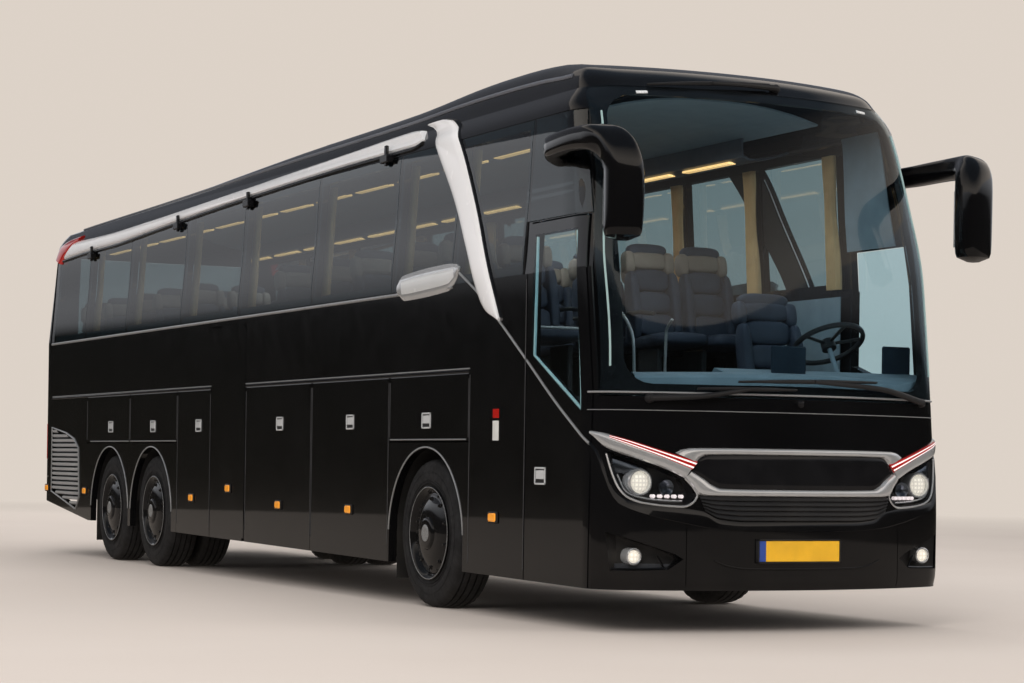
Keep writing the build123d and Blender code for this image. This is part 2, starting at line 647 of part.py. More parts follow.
def knuckle(distance, side):
    """Fork around the axle's boss, with kingpin and wheel spindle."""
    s = SIGN[side]
    with BuildPart() as fork:
        for z in (HUB_Z + BOSS_H / 2 + 1, HUB_Z - BOSS_H / 2 - 31):
            block((s * (KINGPIN_X - 42), s * (KINGPIN_X + 85)), (distance - 42, distance + 42), (z, z + 30))
        block((s * (KINGPIN_X + 58), s * (KINGPIN_X + 85)), (distance - 75, distance + 75),
              (HUB_Z - BOSS_H / 2 - 31, HUB_Z + BOSS_H / 2 + 31))
        rod((s * KINGPIN_X, at(distance), HUB_Z - 95), (s * KINGPIN_X, at(distance), HUB_Z + 95), PIN_R)
        rod((s * (KINGPIN_X + 80), at(distance), HUB_Z), (s * SPINDLE_END, at(distance), HUB_Z),
            SPINDLE_R)
    return fork.part


SPINDLE_END = TYRE_OUTER - 75
for name, distance in (("front", 0), ("tag", TAG)):
    save(f"{name}_axle", steering_axle(distance))
    for side in SIDES:
        save(f"{name}_knuckle_{side}", knuckle(distance, side))

with BuildPart() as drive_axle:
    rod((-585, at(DRIVE), HUB_Z), (585, at(DRIVE), HUB_Z), 75)
    rod((-SPINDLE_END, at(DRIVE), HUB_Z), (SPINDLE_END, at(DRIVE), HUB_Z), SPINDLE_R)
    rod((-90, at(DRIVE), HUB_Z), (90, at(DRIVE), HUB_Z), 190)
    air_springs(DRIVE, (-340, 340), RAIL_X - 10, 100)
    for s in SIGN.values():
        block((s * 400, s * 520), (DRIVE - 120, DRIVE + 120), (HUB_Z - 85, SPRING_Z))
save("drive_axle", drive_axle.part)

# ---- wheels and tyres: profiles as (distance from the centreline, radius) ----
RIM_WALL = 22
RIM_W = 240
DISC_X = TYRE_OUTER - 95
DISC_T = 22


def spin(points, distance, side, mode=Mode.ADD):
    """Ring about a wheel's axis from a closed outline."""
    s = SIGN[side]
    with BuildSketch(Plane(origin=(0, at(distance), HUB_Z), x_dir=(1, 0, 0), z_dir=(0, -1, 0))) as ring:
        with BuildLine():
            Polyline([(s * x, r) for x, r in points], close=True)
        make_face()
    revolve(ring.sketch, axis=Axis((0, at(distance), HUB_Z), (1, 0, 0)), mode=mode)


def ring_outline(x0, x1, r0, r1):
    return [(x0, r0), (x1, r0), (x1, r1), (x0, r1)]


def rim_outlines(outer):
    """Rim tube whose tyre's outer face is at outer."""
    middle = outer - TYRE_W / 2
    return ring_outline(middle - RIM_W / 2, middle + RIM_W / 2, RIM_R - RIM_WALL, RIM_R)


def wheel(distance, side, twin=False):
    with BuildPart() as body:
        inside = TWIN_SPACING + 290 if twin else KINGPIN_X + 100
        spin(ring_outline(inside, TYRE_OUTER - 45, SPINDLE_R + FIT, HUB_R), distance, side)
        spin(ring_outline(SPINDLE_END + 5, TYRE_OUTER - 45, 0, HUB_R), distance, side)
        spin(ring_outline(DISC_X, DISC_X + DISC_T, HUB_R - 5, RIM_R - RIM_WALL + 2), distance, side)
        spin(rim_outlines(TYRE_OUTER), distance, side)
        if twin:
            x = TYRE_OUTER - TWIN_SPACING - 50
            spin(ring_outline(x, x + DISC_T, HUB_R - 5, RIM_R - RIM_WALL + 2), distance, side)
            spin(rim_outlines(TYRE_OUTER - TWIN_SPACING), distance, side)
    return body.part


SHOULDER = 42
BULGE = 24


def tyre_outline(outer):
    inner = outer - TYRE_W
    return [(inner + BULGE, RIM_R + FIT), (outer - BULGE, RIM_R + FIT), (outer, 400),
            (outer - 10, TYRE_R - SHOULDER), (outer - SHOULDER, TYRE_R - 6),
            (outer - TYRE_W / 2, TYRE_R), (inner + SHOULDER, TYRE_R - 6),
            (inner + 10, TYRE_R - SHOULDER), (inner, 400)]


def tyres(distance, side, outers):
    with BuildPart() as rubber:
        for outer in outers:
            spin(tyre_outline(outer), distance, side)
    return rubber.part


for name, distance, outers in (("front", 0, [TYRE_OUTER]), ("tag", TAG, [TYRE_OUTER]),
                               ("drive", DRIVE, [TYRE_OUTER, TYRE_OUTER - TWIN_SPACING])):
    for side in SIDES:
        save(f"{name}_wheel_{side}", wheel(distance, side, len(outers) == 2))
        save(f"{name}_tyre_{side}", tyres(distance, side, outers))

# ---- mudguards and mudflaps ----
GUARD_R = ARCH_R + 6
GUARD_T = 8
def arch_liner(s, distance, inner):
    """Curved sheet over one wheel, cut where two liners meet."""
    half_way = (DRIVE + TAG) / 2
    with BuildPart() as liner:
        rod((s * inner, at(distance), ARCH_Z), (s * (IN - FIT), at(distance), ARCH_Z), GUARD_R + GUARD_T)
        rod((s * inner, at(distance), ARCH_Z), (s * IN, at(distance), ARCH_Z), GUARD_R, Mode.SUBTRACT)
        block((s * 400, s * OUT), (distance - 900, distance + 900), (-200, ARCH_Z + 120), Mode.SUBTRACT)
        if distance == TAG:
            block((0, s * OUT), (distance - 900, half_way + 4), (0, 1200), Mode.SUBTRACT)
        if distance == DRIVE:
            block((0, s * OUT), (half_way - 4, distance + 900), (0, 1200), Mode.SUBTRACT)
    return liner.part


liners = [arch_liner(s, distance, inner) for s in SIGN.values()
          for distance, inner in ((0, 590), (DRIVE, 560), (TAG, 590))]
with BuildPart() as mudguards:
    add(liners)
    for s in SIGN.values():
        for distance in (0, TAG):
            place = distance + GUARD_R + GUARD_T - 30
            block((s * (HALF_WIDTH - 345), s * (IN - FIT)), (place - 8, place), (175, ARCH_Z + 160))
save("mudguards", mudguards.part)

# ---- engine ----
with BuildPart() as engine:
    block((-RAIL_X + RAIL_W / 2, RAIL_X - RAIL_W / 2), (8530, REAR - 410), (520, 1330))
save("engine", engine.part)

# ---- driver's place ----
DRIVER_X = 640
WHEEL_PLACE = (-2150, 1830)           # steering wheel centre: along the coach, height
COLUMN = Vector(0, 0.5, 0.866)        # from the dash towards the driver
tip = Vector(DRIVER_X, at(WHEEL_PLACE[0]), WHEEL_PLACE[1])
with BuildPart() as dashboard:
    side_prism([(-2760, PLATFORM_Z), (-2480, PLATFORM_Z), (-2420, 1420), (-2240, 1560),
                (-2330, 1640), (-2480, 1600), (-2760, 1500)], (STAIR_X, 1300))
    block((125 - HALF_WIDTH, STAIR_X), (-2760, -2560), (1250, 1500))
    rod(tuple(tip - COLUMN * 330), tuple(tip), 16)
    add(INNER, mode=Mode.INTERSECT)
save("dashboard", dashboard.part)

STEER_R = 235
with BuildPart() as rim_ring:
    rod(tuple(tip - COLUMN * 15), tuple(tip + COLUMN * 15), STEER_R + 15)
    rod(tuple(tip - COLUMN * 16), tuple(tip + COLUMN * 16), STEER_R - 15, Mode.SUBTRACT)
    fillet(rim_ring.edges(), 9)
with BuildPart() as steering_wheel:
    face = Plane(origin=tuple(tip), x_dir=(1, 0, 0), z_dir=tuple(COLUMN))
    for turn in (-20, 200, 270):
        way = face.x_dir * cos(radians(turn)) + face.y_dir * sin(radians(turn))
        rod(tuple(tip), tuple(tip + way * STEER_R), 11)
    rod(tuple(tip - COLUMN * 40), tuple(tip + COLUMN * 22), 48)
    add(rim_ring.part)
    rod(tuple(tip - COLUMN * 60), tuple(tip + COLUMN * 1), 16 + FIT, Mode.SUBTRACT)
save("steering_wheel", steering_wheel.part)


def seat_outline(front, base):
    """Side outline of a seat on a floor at base, its cushion starting at front."""
    return [(front + 120, base), (front + 420, base), (front + 440, base + 330),
            (front + 560, base + 380), (front + 700, base + 1120), (front + 660, base + 1150),
            (front + 600, base + 1130), (front + 440, base + 470), (front, base + 480),
            (front, base + 390), (front + 140, base + 340)]


with BuildPart() as driver_seat:
    side_prism(seat_outline(-1960, PLATFORM_Z), (DRIVER_X - 250, DRIVER_X + 250))
save("driver_seat", driver_seat.part)

SEAT_PITCH = 830
FIRST_ROW = -560
AISLE = 290
ROWS = 12
with BuildPart() as passenger_seats:
    for side in SIDES:
        s = SIGN[side]
        for row in range(ROWS):
            start = FIRST_ROW + row * SEAT_PITCH
            if side == "right" and start + 720 > MID_WELL[0] and start < MID_WELL[1] + 60:
                continue
            side_prism(seat_outline(start, DECK_Z), (s * AISLE, s * (IN - 40)))
save("passenger_seats", passenger_seats.part)

# ---- luggage racks ----
RACK_X = HALF_WIDTH - 540             # front lip of the racks
RACK = [(RACK_X + 565, 3250), (RACK_X + 65, 3190), (RACK_X, 3225), (RACK_X, 3330),
        (RACK_X + 30, 3330), (RACK_X + 30, 3245), (RACK_X + 75, 3221), (RACK_X + 565, 3280)]
with BuildPart() as luggage_racks:
    for s in SIGN.values():
        cross_prism([(s * x, z) for x, z in RACK], (-900, 9500))
    add(INNER, mode=Mode.INTERSECT)
save("luggage_racks", luggage_racks.part)

# ---- mirrors ----
MIRROR_X = HALF_WIDTH
MIRROR_FRONT = -FRONT_OVERHANG - MIRROR_REACH
def mirror(s):
    """Arm from the corner post with its housing hanging ahead of the screen."""
    with BuildPart() as arm:
        with BuildLine() as route:
            FilletPolyline([(s * (HALF_WIDTH - 85), at(-1880), 2960),
                            (s * (HALF_WIDTH + 100), at(-2020), 2990),
                            (s * (HALF_WIDTH + 115), at(-2660), 3010),
                            (s * (HALF_WIDTH + 55), at(-2790), 2960),
                            (s * MIRROR_X, at(-2830), 2780)], radius=55)
        with BuildSketch(Plane(origin=route.line @ 0, z_dir=route.line % 0)) as tube:
            Circle(34)
        sweep(tube.sketch, path=route.line)
        with BuildSketch(Plane.XY.offset(2350)) as low_face:
            with Locations((s * MIRROR_X, at(MIRROR_FRONT + 85))):
                RectangleRounded(200, 170, 70)
        with BuildSketch(Plane.XY.offset(2920)) as high_face:
            with Locations((s * (MIRROR_X + 10), at(MIRROR_FRONT + 95))):
                RectangleRounded(220, 190, 80)
        loft([low_face.sketch.face(), high_face.sketch.face()])
        add(OUTER, mode=Mode.SUBTRACT)
    return arm.part


mirror_pair = [mirror(s) for s in SIGN.values()]
with BuildPart() as mirrors:
    add(mirror_pair)
save("mirrors", mirrors.part)

# ---- wipers, lying on the glass ----
WIPER_T = 26
WIPERS = [                            # bars as (start, end, width) in x and height
    [((-870, 1452), (-330, 1466), 26), ((-650, 1468), (-50, 1468), 24)],
    [((1000, 1452), (480, 1534), 26), ((640, 1536), (-330, 1536), 24)],
    [((-760, 3365), (60, 3365), 24)],
]
PROUD = hull(-WIPER_T)
with BuildPart() as wiper_layer:
    add(PROUD)
    add(OUTER, mode=Mode.SUBTRACT)
    side_prism(SCREEN_REGION, FULL, Mode.INTERSECT)


def wiper(bars):
    """One wiper, its bars cut from the layer that lies on the glass."""
    with BuildPart() as blade:
        for start, end, width in bars:
            way = Vector(end[0] - start[0], end[1] - start[1]).normalized()
            across = Vector(-way.Y, way.X) * width / 2
            corners = [Vector(*start) + across, Vector(*end) + across, Vector(*end) - across,
                       Vector(*start) - across]
            cross_prism([(c.X, c.Y) for c in corners], (NEAR, -1500))
        add(wiper_layer.part, mode=Mode.INTERSECT)
    return blade.part


blades = [wiper(bars) for bars in WIPERS]
with BuildPart() as wipers:
    add(blades)
save("wipers", wipers.part)
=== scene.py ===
"""Looks for a three-axle touring coach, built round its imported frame.

Metres, row frame: +Z up, the front faces -Y, +X is the coach's left side.
Places along the coach are written from the front axle and moved by at().
"""
import math
import bmesh
import bpy
from mathutils import Matrix, Vector


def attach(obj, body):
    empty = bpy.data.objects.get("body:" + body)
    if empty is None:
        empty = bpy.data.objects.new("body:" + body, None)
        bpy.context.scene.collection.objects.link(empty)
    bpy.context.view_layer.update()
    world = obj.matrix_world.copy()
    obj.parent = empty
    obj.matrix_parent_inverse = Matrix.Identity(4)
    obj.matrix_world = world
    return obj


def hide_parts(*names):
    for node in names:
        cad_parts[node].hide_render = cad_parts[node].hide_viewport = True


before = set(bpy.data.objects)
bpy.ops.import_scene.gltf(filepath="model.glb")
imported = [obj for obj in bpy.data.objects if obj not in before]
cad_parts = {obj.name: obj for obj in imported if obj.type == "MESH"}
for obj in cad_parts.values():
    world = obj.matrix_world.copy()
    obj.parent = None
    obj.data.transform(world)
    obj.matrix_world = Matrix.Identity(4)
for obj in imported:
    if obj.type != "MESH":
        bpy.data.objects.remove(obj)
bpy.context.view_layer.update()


# ---- body outline ----
AXLE_Y = -3.6575
DRIVE, TAG = 6.350, 7.700
HALF, FRONT, REAR = 1.275, -2.870, 10.245
SCREEN_Z, BELT_Z, CANTRAIL_Z, SCREEN_TOP = 1.440, 2.235, 3.240, 3.395
SCREEN_EDGE = -2.470
FRONT_BOW, REAR_BOW, FRONT_CORNER, REAR_CORNER = 2.850, 12.0, 0.300, 0.170
# height, half width, front, rear
LEVELS = [
    (0.200, HALF, FRONT, REAR), (0.640, HALF, FRONT, REAR),
    (SCREEN_Z, HALF, FRONT + 0.060, REAR), (BELT_Z, HALF, FRONT + 0.160, REAR),
    (2.740, HALF * 0.97, FRONT + 0.285, REAR - 0.045),
    (CANTRAIL_Z, HALF * 0.945, FRONT + 0.470, REAR - 0.105),
    (SCREEN_TOP, HALF * 0.87, FRONT + 0.560, REAR - 0.155),
    (3.530, HALF * 0.74, FRONT + 0.690, REAR - 0.255),
    (3.645, HALF * 0.55, FRONT + 0.920, REAR - 0.445),
    (3.718, HALF * 0.31, FRONT + 1.270, REAR - 0.765),
    (3.760, HALF * 0.12, FRONT + 1.770, REAR - 1.245),
]
PANES = [-1.500, -0.400, 0.655, 2.260, 3.970, 5.530, 7.230, 8.650, 9.830]
SIDES = {"left": 1, "right": -1}
PANE_LOW, PANE_HIGH = 2.237, 3.236
WHEEL_Z = 0.520
AHEAD = (0, -1, 0)
# runs of flaps and lids along each side, broken by the mid door on the right
FLAP_RUNS = {"left": [(-0.715, 9.85)], "right": [(-0.715, 3.735), (4.635, 9.85)]}


def at(distance):
    """Row-frame y of a place measured from the front axle."""
    return AXLE_Y + distance


def smooth(stops, values):
    """Monotone cubic curve through values at stops."""
    runs = [b - a for a, b in zip(stops, stops[1:])]
    slopes = [(b - a) / run for a, b, run in zip(values, values[1:], runs)]
    inner = [2 * p * q / (p + q) if p * q > 0 else 0 for p, q in zip(slopes, slopes[1:])]
    ends = [slopes[0], *inner, slopes[-1]]

    def curve(t):
        t = min(max(t, stops[0]), stops[-1])
        i = max(k for k in range(len(runs)) if stops[k] <= t)
        u, run = (t - stops[i]) / runs[i], runs[i]
        return (values[i] * (1 + 2 * u) * (1 - u) ** 2 + ends[i] * run * u * (1 - u) ** 2
                + values[i + 1] * u * u * (3 - 2 * u) + ends[i + 1] * run * u * u * (u - 1))
    return curve


def line_of(places, values):
    """Straight runs between given values."""
    def read(place):
        place = min(max(place, places[0]), places[-1])
        for a, b, c, d in zip(places, places[1:], values, values[1:]):
            if place <= b:
                return c + (d - c) * (place - a) / (b - a)
        return values[-1]
    return read


def signed_power(value, power):
    """A power of a number that keeps its sign."""
    return math.copysign(abs(value) ** power, value)


STEPS = [0]
for low, high in zip(LEVELS, LEVELS[1:]):
    STEPS.append(STEPS[-1] + math.hypot(high[0] - low[0],
                                        (low[1] - high[1] + high[2] - low[2]) / 2))
LEVEL_CURVES = [smooth(STEPS, [level[i] for level in LEVELS]) for i in range(4)]
LEAN = smooth([0.2, SCREEN_Z, 2.560, CANTRAIL_Z, SCREEN_TOP], [0, 0, 0.150, 0.350, 0.480])


def step_of(z):
    """Run along the body section at which its height is z."""
    low, high = 0, STEPS[-1]
    for _ in range(40):
        middle = (low + high) / 2
        low, high = (middle, high) if LEVEL_CURVES[0](middle) < z else (low, middle)
    return low


def outline(step):
    """Height, half width, front and rear of the body at a run along its section."""
    return [curve(step) for curve in LEVEL_CURVES]


def end_arcs(step, away):
    """Bow and corner of one end of the body: away is -1 in front, 1 behind."""
    z, half, front, rear = outline(step)
    end, bow, radius = (front, FRONT_BOW, FRONT_CORNER) if away < 0 else (
        rear, REAR_BOW, REAR_CORNER)
    radius = min(radius, 0.8 * half)
    across = half - radius
    centre = end - away * bow
    reach = math.sqrt((bow - radius) ** 2 - across ** 2)
    turn = math.asin(across / (bow - radius))
    return z, across, radius, centre + away * reach, bow, centre, turn


def end_point(width, step, away=-1, out=0.0):
    """Point on an end of the body at a width measured round it from the middle."""
    z, across, radius, corner_y, bow, bow_y, turn = end_arcs(step, away)
    side, width = math.copysign(1, width), abs(width)
    joint = bow * turn
    square = joint + radius * (math.pi / 2 - turn)
    if width <= joint:
        angle = width / bow
        x, y = (bow + out) * math.sin(angle), bow_y + away * (bow + out) * math.cos(angle)
    elif width <= square:
        angle = turn + (width - joint) / radius
        x = across + (radius + out) * math.sin(angle)
        y = corner_y + away * (radius + out) * math.cos(angle)
    else:
        x, y = across + radius + out, corner_y - away * (width - square)
    return Vector((side * x, at(y), z))


def width_at_x(x, step, away=-1):
    """Width round the end of the body at which it reaches x."""
    _, across, radius, _, bow, _, turn = end_arcs(step, away)
    side, x = math.copysign(1, x), min(abs(x), across + radius)
    if x <= bow * math.sin(turn):
        return side * bow * math.asin(x / bow)
    return side * (bow * turn + radius * (math.asin((x - across) / radius) - turn))


def width_at_place(distance, step, away=-1):
    """Width round the end of the body at which it reaches a place along the coach."""
    _, _, radius, corner_y, bow, _, turn = end_arcs(step, away)
    beyond = -away * (distance - corner_y)
    if beyond >= 0:
        return bow * turn + radius * (math.pi / 2 - turn) + beyond
    return bow * turn + radius * (math.acos(-beyond / radius) - turn)


def on_front(x, z, out=0.0):
    """Point on the front of the body at x and z."""
    step = step_of(z)
    return end_point(width_at_x(x, step), step, -1, out)


def on_rear(x, z, out=0.0):
    """Point on the back of the body at x and z."""
    step = step_of(z)
    return end_point(width_at_x(x, step, 1), step, 1, out)


def mirror_points(points):
    """The same points on the other side of the coach."""
    return [Vector((-p.x, p.y, p.z)) for p in points]


def lifted(place, by):
    """A placer that stands further out than another."""
    return lambda first, z, out=0.0: place(first, z, out + by)


def on_side(side):
    """Placer for points on one side of the body, from distance and height."""
    def place(distance, z, out=0.0):
        step = step_of(z)
        corner = end_arcs(step, -1)[3]
        if distance < corner:
            p = end_point(width_at_place(distance, step), step, -1, out)
            return Vector((side * p.x, p.y, p.z))
        return Vector((side * (outline(step)[1] + out), at(distance), z))
    return place


# ---- shader nodes ----
class Value:
    """A shader socket that takes part in arithmetic."""

    def __init__(self, finish, socket):
        self.finish, self.socket = finish, socket

    def join(self, operation, first, second):
        return self.finish.value("ShaderNodeMath", {"operation": operation},
                                 {0: first, 1: second})

    def __add__(self, other):
        return self.join("ADD", self, other)

    def __radd__(self, other):
        return self.join("ADD", other, self)

    def __sub__(self, other):
        return self.join("SUBTRACT", self, other)

    def __rsub__(self, other):
        return self.join("SUBTRACT", other, self)

    def __mul__(self, other):
        return self.join("MULTIPLY", self, other)

    def __rmul__(self, other):
        return self.join("MULTIPLY", other, self)

    def __truediv__(self, other):
        return self.join("DIVIDE", self, other)


class Finish:
    """One material and its nodes."""

    def __init__(self, name, tree=None):
        if tree is None:
            self.material = bpy.data.materials.new(name)
            self.material.use_nodes = True
            tree = self.material.node_tree
        self.tree = tree
        tree.nodes.clear()

    def node(self, kind, settings=None, inputs=None):
        """A node of a type, its settings set first and then its sockets."""
        made = self.tree.nodes.new(kind)
        for key, setting in (settings or {}).items():
            if key == "stops":
                ramp = made.color_ramp
                while len(ramp.elements) < len(setting):
                    ramp.elements.new(1)
                for element, (place, colour) in zip(ramp.elements, setting):
                    element.position, element.color = place, (*colour, 1)
            else:
                setattr(made, key, setting)
        for key, value in (inputs or {}).items():
            if isinstance(value, Value):
                self.tree.links.new(value.socket, made.inputs[key])
            elif isinstance(value, tuple) and len(value) == 3 and \
                    made.inputs[key].type == "RGBA":
                made.inputs[key].default_value = (*value, 1)
            else:
                made.inputs[key].default_value = value
        return made

    def value(self, kind, settings=None, inputs=None, output=0):
        return Value(self, self.node(kind, settings, inputs).outputs[output])

    def place(self):
        """Coordinates in the frame, in metres."""
        return self.value("ShaderNodeTexCoord", output="Object")

    def stretched(self, scale):
        return self.value("ShaderNodeMapping", {}, {"Vector": self.place(), "Scale": scale})

    def noise(self, scale, detail=3.0, vector=None):
        return self.value("ShaderNodeTexNoise", {},
                          {"Vector": vector or self.place(), "Scale": scale, "Detail": detail})

    def spread(self, value, low, high, to_low=0.0, to_high=1.0):
        """value moved from one range to another, and held inside it."""
        return self.value("ShaderNodeMapRange", {},
                          {"Value": value, "From Min": low, "From Max": high,
                           "To Min": to_low, "To Max": to_high})

    def cloud(self, scale, detail, low=0.3, high=0.7, to_low=0.0, to_high=1.0):
        """Noise spread over a range."""
        return self.spread(self.noise(scale, detail), low, high, to_low, to_high)

    def blend(self, factor, first, second):
        """Colour between two."""
        mix = self.node("ShaderNodeMix", {"data_type": "RGBA"}, {0: factor})
        for index, colour in ((6, first), (7, second)):
            if isinstance(colour, Value):
                self.tree.links.new(colour.socket, mix.inputs[index])
            else:
                mix.inputs[index].default_value = (*colour, 1)
        return Value(self, mix.outputs[2])

    def dot(self, vector, axis):
        """How far a vector reaches along an axis."""
        return self.value("ShaderNodeVectorMath", {"operation": "DOT_PRODUCT"},
                          {0: vector, 1: axis}, "Value")

    def glow(self, colour):
        return self.value("ShaderNodeEmission", {}, {"Color": colour, "Strength": 1.0})

    def mix(self, factor, first, second):
        """Shader between two."""
        return self.value("ShaderNodeMixShader", {}, {0: factor, 1: first, 2: second})

    def ray(self, node, kind):
        """One output of a light path node."""
        return Value(self, node.outputs[f"Is {kind} Ray"])

    def height(self):
        """Height over the floor."""
        return self.value("ShaderNodeSeparateXYZ", {}, {0: self.place()}, "Z")

    def bump(self, height, distance, strength=1.0):
        return self.value("ShaderNodeBump", {},
                          {"Height": height, "Distance": distance, "Strength": strength})

    def surface(self, **inputs):
        """The principled shader; socket names are written with _ for a space."""
        names = {key.replace("_", " "): value for key, value in inputs.items()}
        return self.value("ShaderNodeBsdfPrincipled", {}, names)

    def done(self, shader):
        self.node("ShaderNodeOutputMaterial", {}, {"Surface": shader})
        return self.material


def dust(finish, colour, low=0.25, high=0.95, most=0.35):
    """Road dust that thins out with height, over a base colour."""
    cloud = finish.cloud(3.2, 6, 0.35, 0.7)
    amount = finish.spread(finish.height(), high, low, 0, most) * cloud
    return finish.blend(amount, colour, (0.135, 0.115, 0.095)), amount


def paint(name, dark, light, rough=0.16, dirty=0.35):
    """Gloss coach paint under clear coat."""
    f = Finish(name)
    base = f.blend(f.cloud(1.4, 4), dark, light)
    base, amount = dust(f, base, most=dirty)
    peel = f.bump(f.noise(310, 2), 0.0002, 0.25)
    return f.done(f.surface(Base_Color=base,
                            Roughness=f.cloud(9, 5, 0.3, 0.75, rough, rough + 0.09) + amount,
                            Metallic=0.0, Specular_IOR_Level=0.15, Coat_Weight=1 - amount,
                            Coat_Roughness=0.03, Normal=peel))


def metal(name, colour, rough, stretch=(1, 1, 1), scale=40.0, coat=0.0, pure=1.0):
    """Bright metal with a fine brushed or cast grain."""
    f = Finish(name)
    grain = f.noise(scale, 4, f.stretched(stretch))
    shade = f.cloud(2.5, 3, 0.25, 0.75)
    darker = tuple(c * 0.86 for c in colour)
    return f.done(f.surface(
        Base_Color=f.blend(shade, darker, colour), Metallic=pure, Coat_Weight=coat,
        Roughness=f.spread(grain, 0.3, 0.7, rough, rough + 0.12),
        Normal=f.bump(grain, 0.0002, 0.3)))


def plastic(name, colour, rough=0.45, grain=900.0, depth=0.0002, dirty=0.2):
    """Moulded plastic with a fine grain."""
    f = Finish(name)
    light = tuple(min(1, c * 1.25 + 0.002) for c in colour)
    base = f.blend(f.cloud(6, 5), colour, light)
    base, amount = dust(f, base, most=dirty)
    return f.done(f.surface(
        Base_Color=base, Roughness=f.cloud(14, 4, 0.3, 0.7, rough, rough + 0.12),
        Normal=f.bump(f.noise(grain, 3), depth, 0.5)))


def rubber(name, colour=(0.017, 0.017, 0.018), dirty=0.5):
    """Tyre or seal rubber with dust on it."""
    f = Finish(name)
    base = f.blend(f.cloud(11, 6, 0.35, 0.7), colour, tuple(c * 1.9 for c in colour))
    base, _ = dust(f, base, 0.0, 0.75, dirty)
    return f.done(f.surface(
        Base_Color=base, Roughness=f.cloud(30, 5, 0.3, 0.7, 0.62, 0.85),
        Normal=f.bump(f.noise(420, 4), 0.0006, 0.6)))


def glass(name, tint, rough=0.02, ior=1.5, film=0.0, film_colour=(0.02, 0.02, 0.022)):
    """Tinted glass: clear straight through, with a Fresnel gloss and a faint film of dust."""
    f = Finish(name)
    clear = f.value("ShaderNodeBsdfTransparent", {}, {"Color": tint})
    haze = f.surface(Base_Color=film_colour, Roughness=0.5)
    streaks = f.cloud(2.2, 6, 0.2, 0.8, film * 0.7, film * 1.3)
    body = f.mix(streaks, clear, haze)
    gloss = f.surface(Base_Color=(1.0, 1.0, 1.0), Metallic=1.0,
                      Roughness=f.cloud(5, 4, 0.3, 0.7, rough, rough + 0.015))
    facing = f.value("ShaderNodeFresnel", {}, {"IOR": ior})
    inner = Value(f, f.node("ShaderNodeNewGeometry").outputs["Backfacing"])
    facing = facing * (1 - inner)
    return f.done(f.mix(facing, body, gloss))


def lens(name, colour, glow=(0.0, 0.0, 0.0), strength=0.0, pitch=90.0):
    """Moulded lamp lens with fine optics behind its surface."""
    f = Finish(name)
    cells = f.value("ShaderNodeTexVoronoi", {"distance": "CHEBYCHEV"},
                    {"Vector": f.place(), "Scale": pitch, "Randomness": 0.0})
    shade = f.spread(cells, 0.0, 0.6, 0.0, 1.0)
    darker = tuple(c * 0.55 for c in colour)
    return f.done(f.surface(
        Base_Color=f.blend(shade, colour, darker), Roughness=0.08, Coat_Weight=1.0,
        Coat_Roughness=0.02, Emission_Color=f.blend(shade, glow, tuple(c * 0.5 for c in glow)),
        Emission_Strength=strength, Normal=f.bump(cells, 0.0006, 0.5)))


def cloth(name, dark, light, weave=900.0, sheen=0.3, depth=0.0006):
    """Woven cloth with warp and weft."""
    f = Finish(name)
    across = f.value("ShaderNodeTexWave", {"bands_direction": "Z"},
                     {"Vector": f.place(), "Scale": weave / 20, "Distortion": 0.4})
    along = f.value("ShaderNodeTexWave", {"bands_direction": "Y"},
                    {"Vector": f.place(), "Scale": weave / 20, "Distortion": 0.4})
    thread = across * along
    shade = f.cloud(7, 5) * 0.7 + thread * 0.3
    return f.done(f.surface(
        Base_Color=f.blend(shade, dark, light), Roughness=0.85, Sheen_Weight=sheen,
        Normal=f.bump(thread + f.noise(60, 3) * 0.6, depth, 0.6)))


def leather(name, dark, light, rough=0.42):
    """Grained seat leather with a little wear."""
    f = Finish(name)
    grain = f.value("ShaderNodeTexVoronoi", {"feature": "DISTANCE_TO_EDGE"},
                    {"Vector": f.place(), "Scale": 420.0})
    wear = f.cloud(5, 6, 0.4, 0.75)
    return f.done(f.surface(
        Base_Color=f.blend(wear, dark, light), Specular_IOR_Level=0.4,
        Roughness=f.cloud(9, 5, 0.3, 0.7, rough, rough + 0.2),
        Normal=f.bump(f.spread(grain, 0.0, 0.12), 0.0004, 0.7)))


coach_black = paint("coach_black", (0.0025, 0.0025, 0.003), (0.0045, 0.0045, 0.0052), 0.12, 0.03)
pearl_white = paint("pearl_white", (0.84, 0.84, 0.86), (0.90, 0.90, 0.92), 0.2, 0.0)
badge_silver = paint("badge_silver", (0.56, 0.57, 0.58), (0.64, 0.65, 0.66), 0.2, 0.0)
# Blue-grey for the roof rails, lighter than the black roof: a painted highlight along the roof's
# edge.
roof_grey = paint("roof_grey", (0.115, 0.125, 0.150), (0.145, 0.155, 0.180), 0.28, 0.0)
satin_silver = metal("satin_silver", (0.56, 0.57, 0.58), 0.24, (30, 1, 30), pure=0.7)
grille_silver = metal("grille_silver", (0.60, 0.61, 0.62), 0.30, (30, 1, 30), pure=0.5)
chrome = metal("chrome", (0.86, 0.87, 0.88), 0.09, scale=12, pure=0.70)
cast_iron = metal("cast_iron", (0.07, 0.07, 0.073), 0.55, scale=90)
satin_black = plastic("satin_black", (0.012, 0.012, 0.013), 0.35)
gloss_black = plastic("gloss_black", (0.006, 0.006, 0.007), 0.08, 300, 0.00005)
matt_black = plastic("matt_black", (0.010, 0.010, 0.010), 0.7)
chassis_black = plastic("chassis_black", (0.020, 0.020, 0.021), 0.55, 120, 0.001, 0.6)
lamp_bezel = plastic("lamp_bezel", (0.012, 0.012, 0.014), 0.25)
lamp_grey = metal("lamp_grey", (0.30, 0.34, 0.40), 0.2, (1, 40, 40), 30)
tyre_rubber = rubber("tyre_rubber", (0.011, 0.011, 0.012), 0.12)
seal_rubber = rubber("seal_rubber", (0.010, 0.010, 0.011), 0.15)
wheel_black = paint("wheel_black", (0.004, 0.004, 0.0045), (0.007, 0.007, 0.008), 0.12, 0.05)
side_glass = glass("side_glass", (0.50, 0.58, 0.61), ior=1.74, film=0.012)
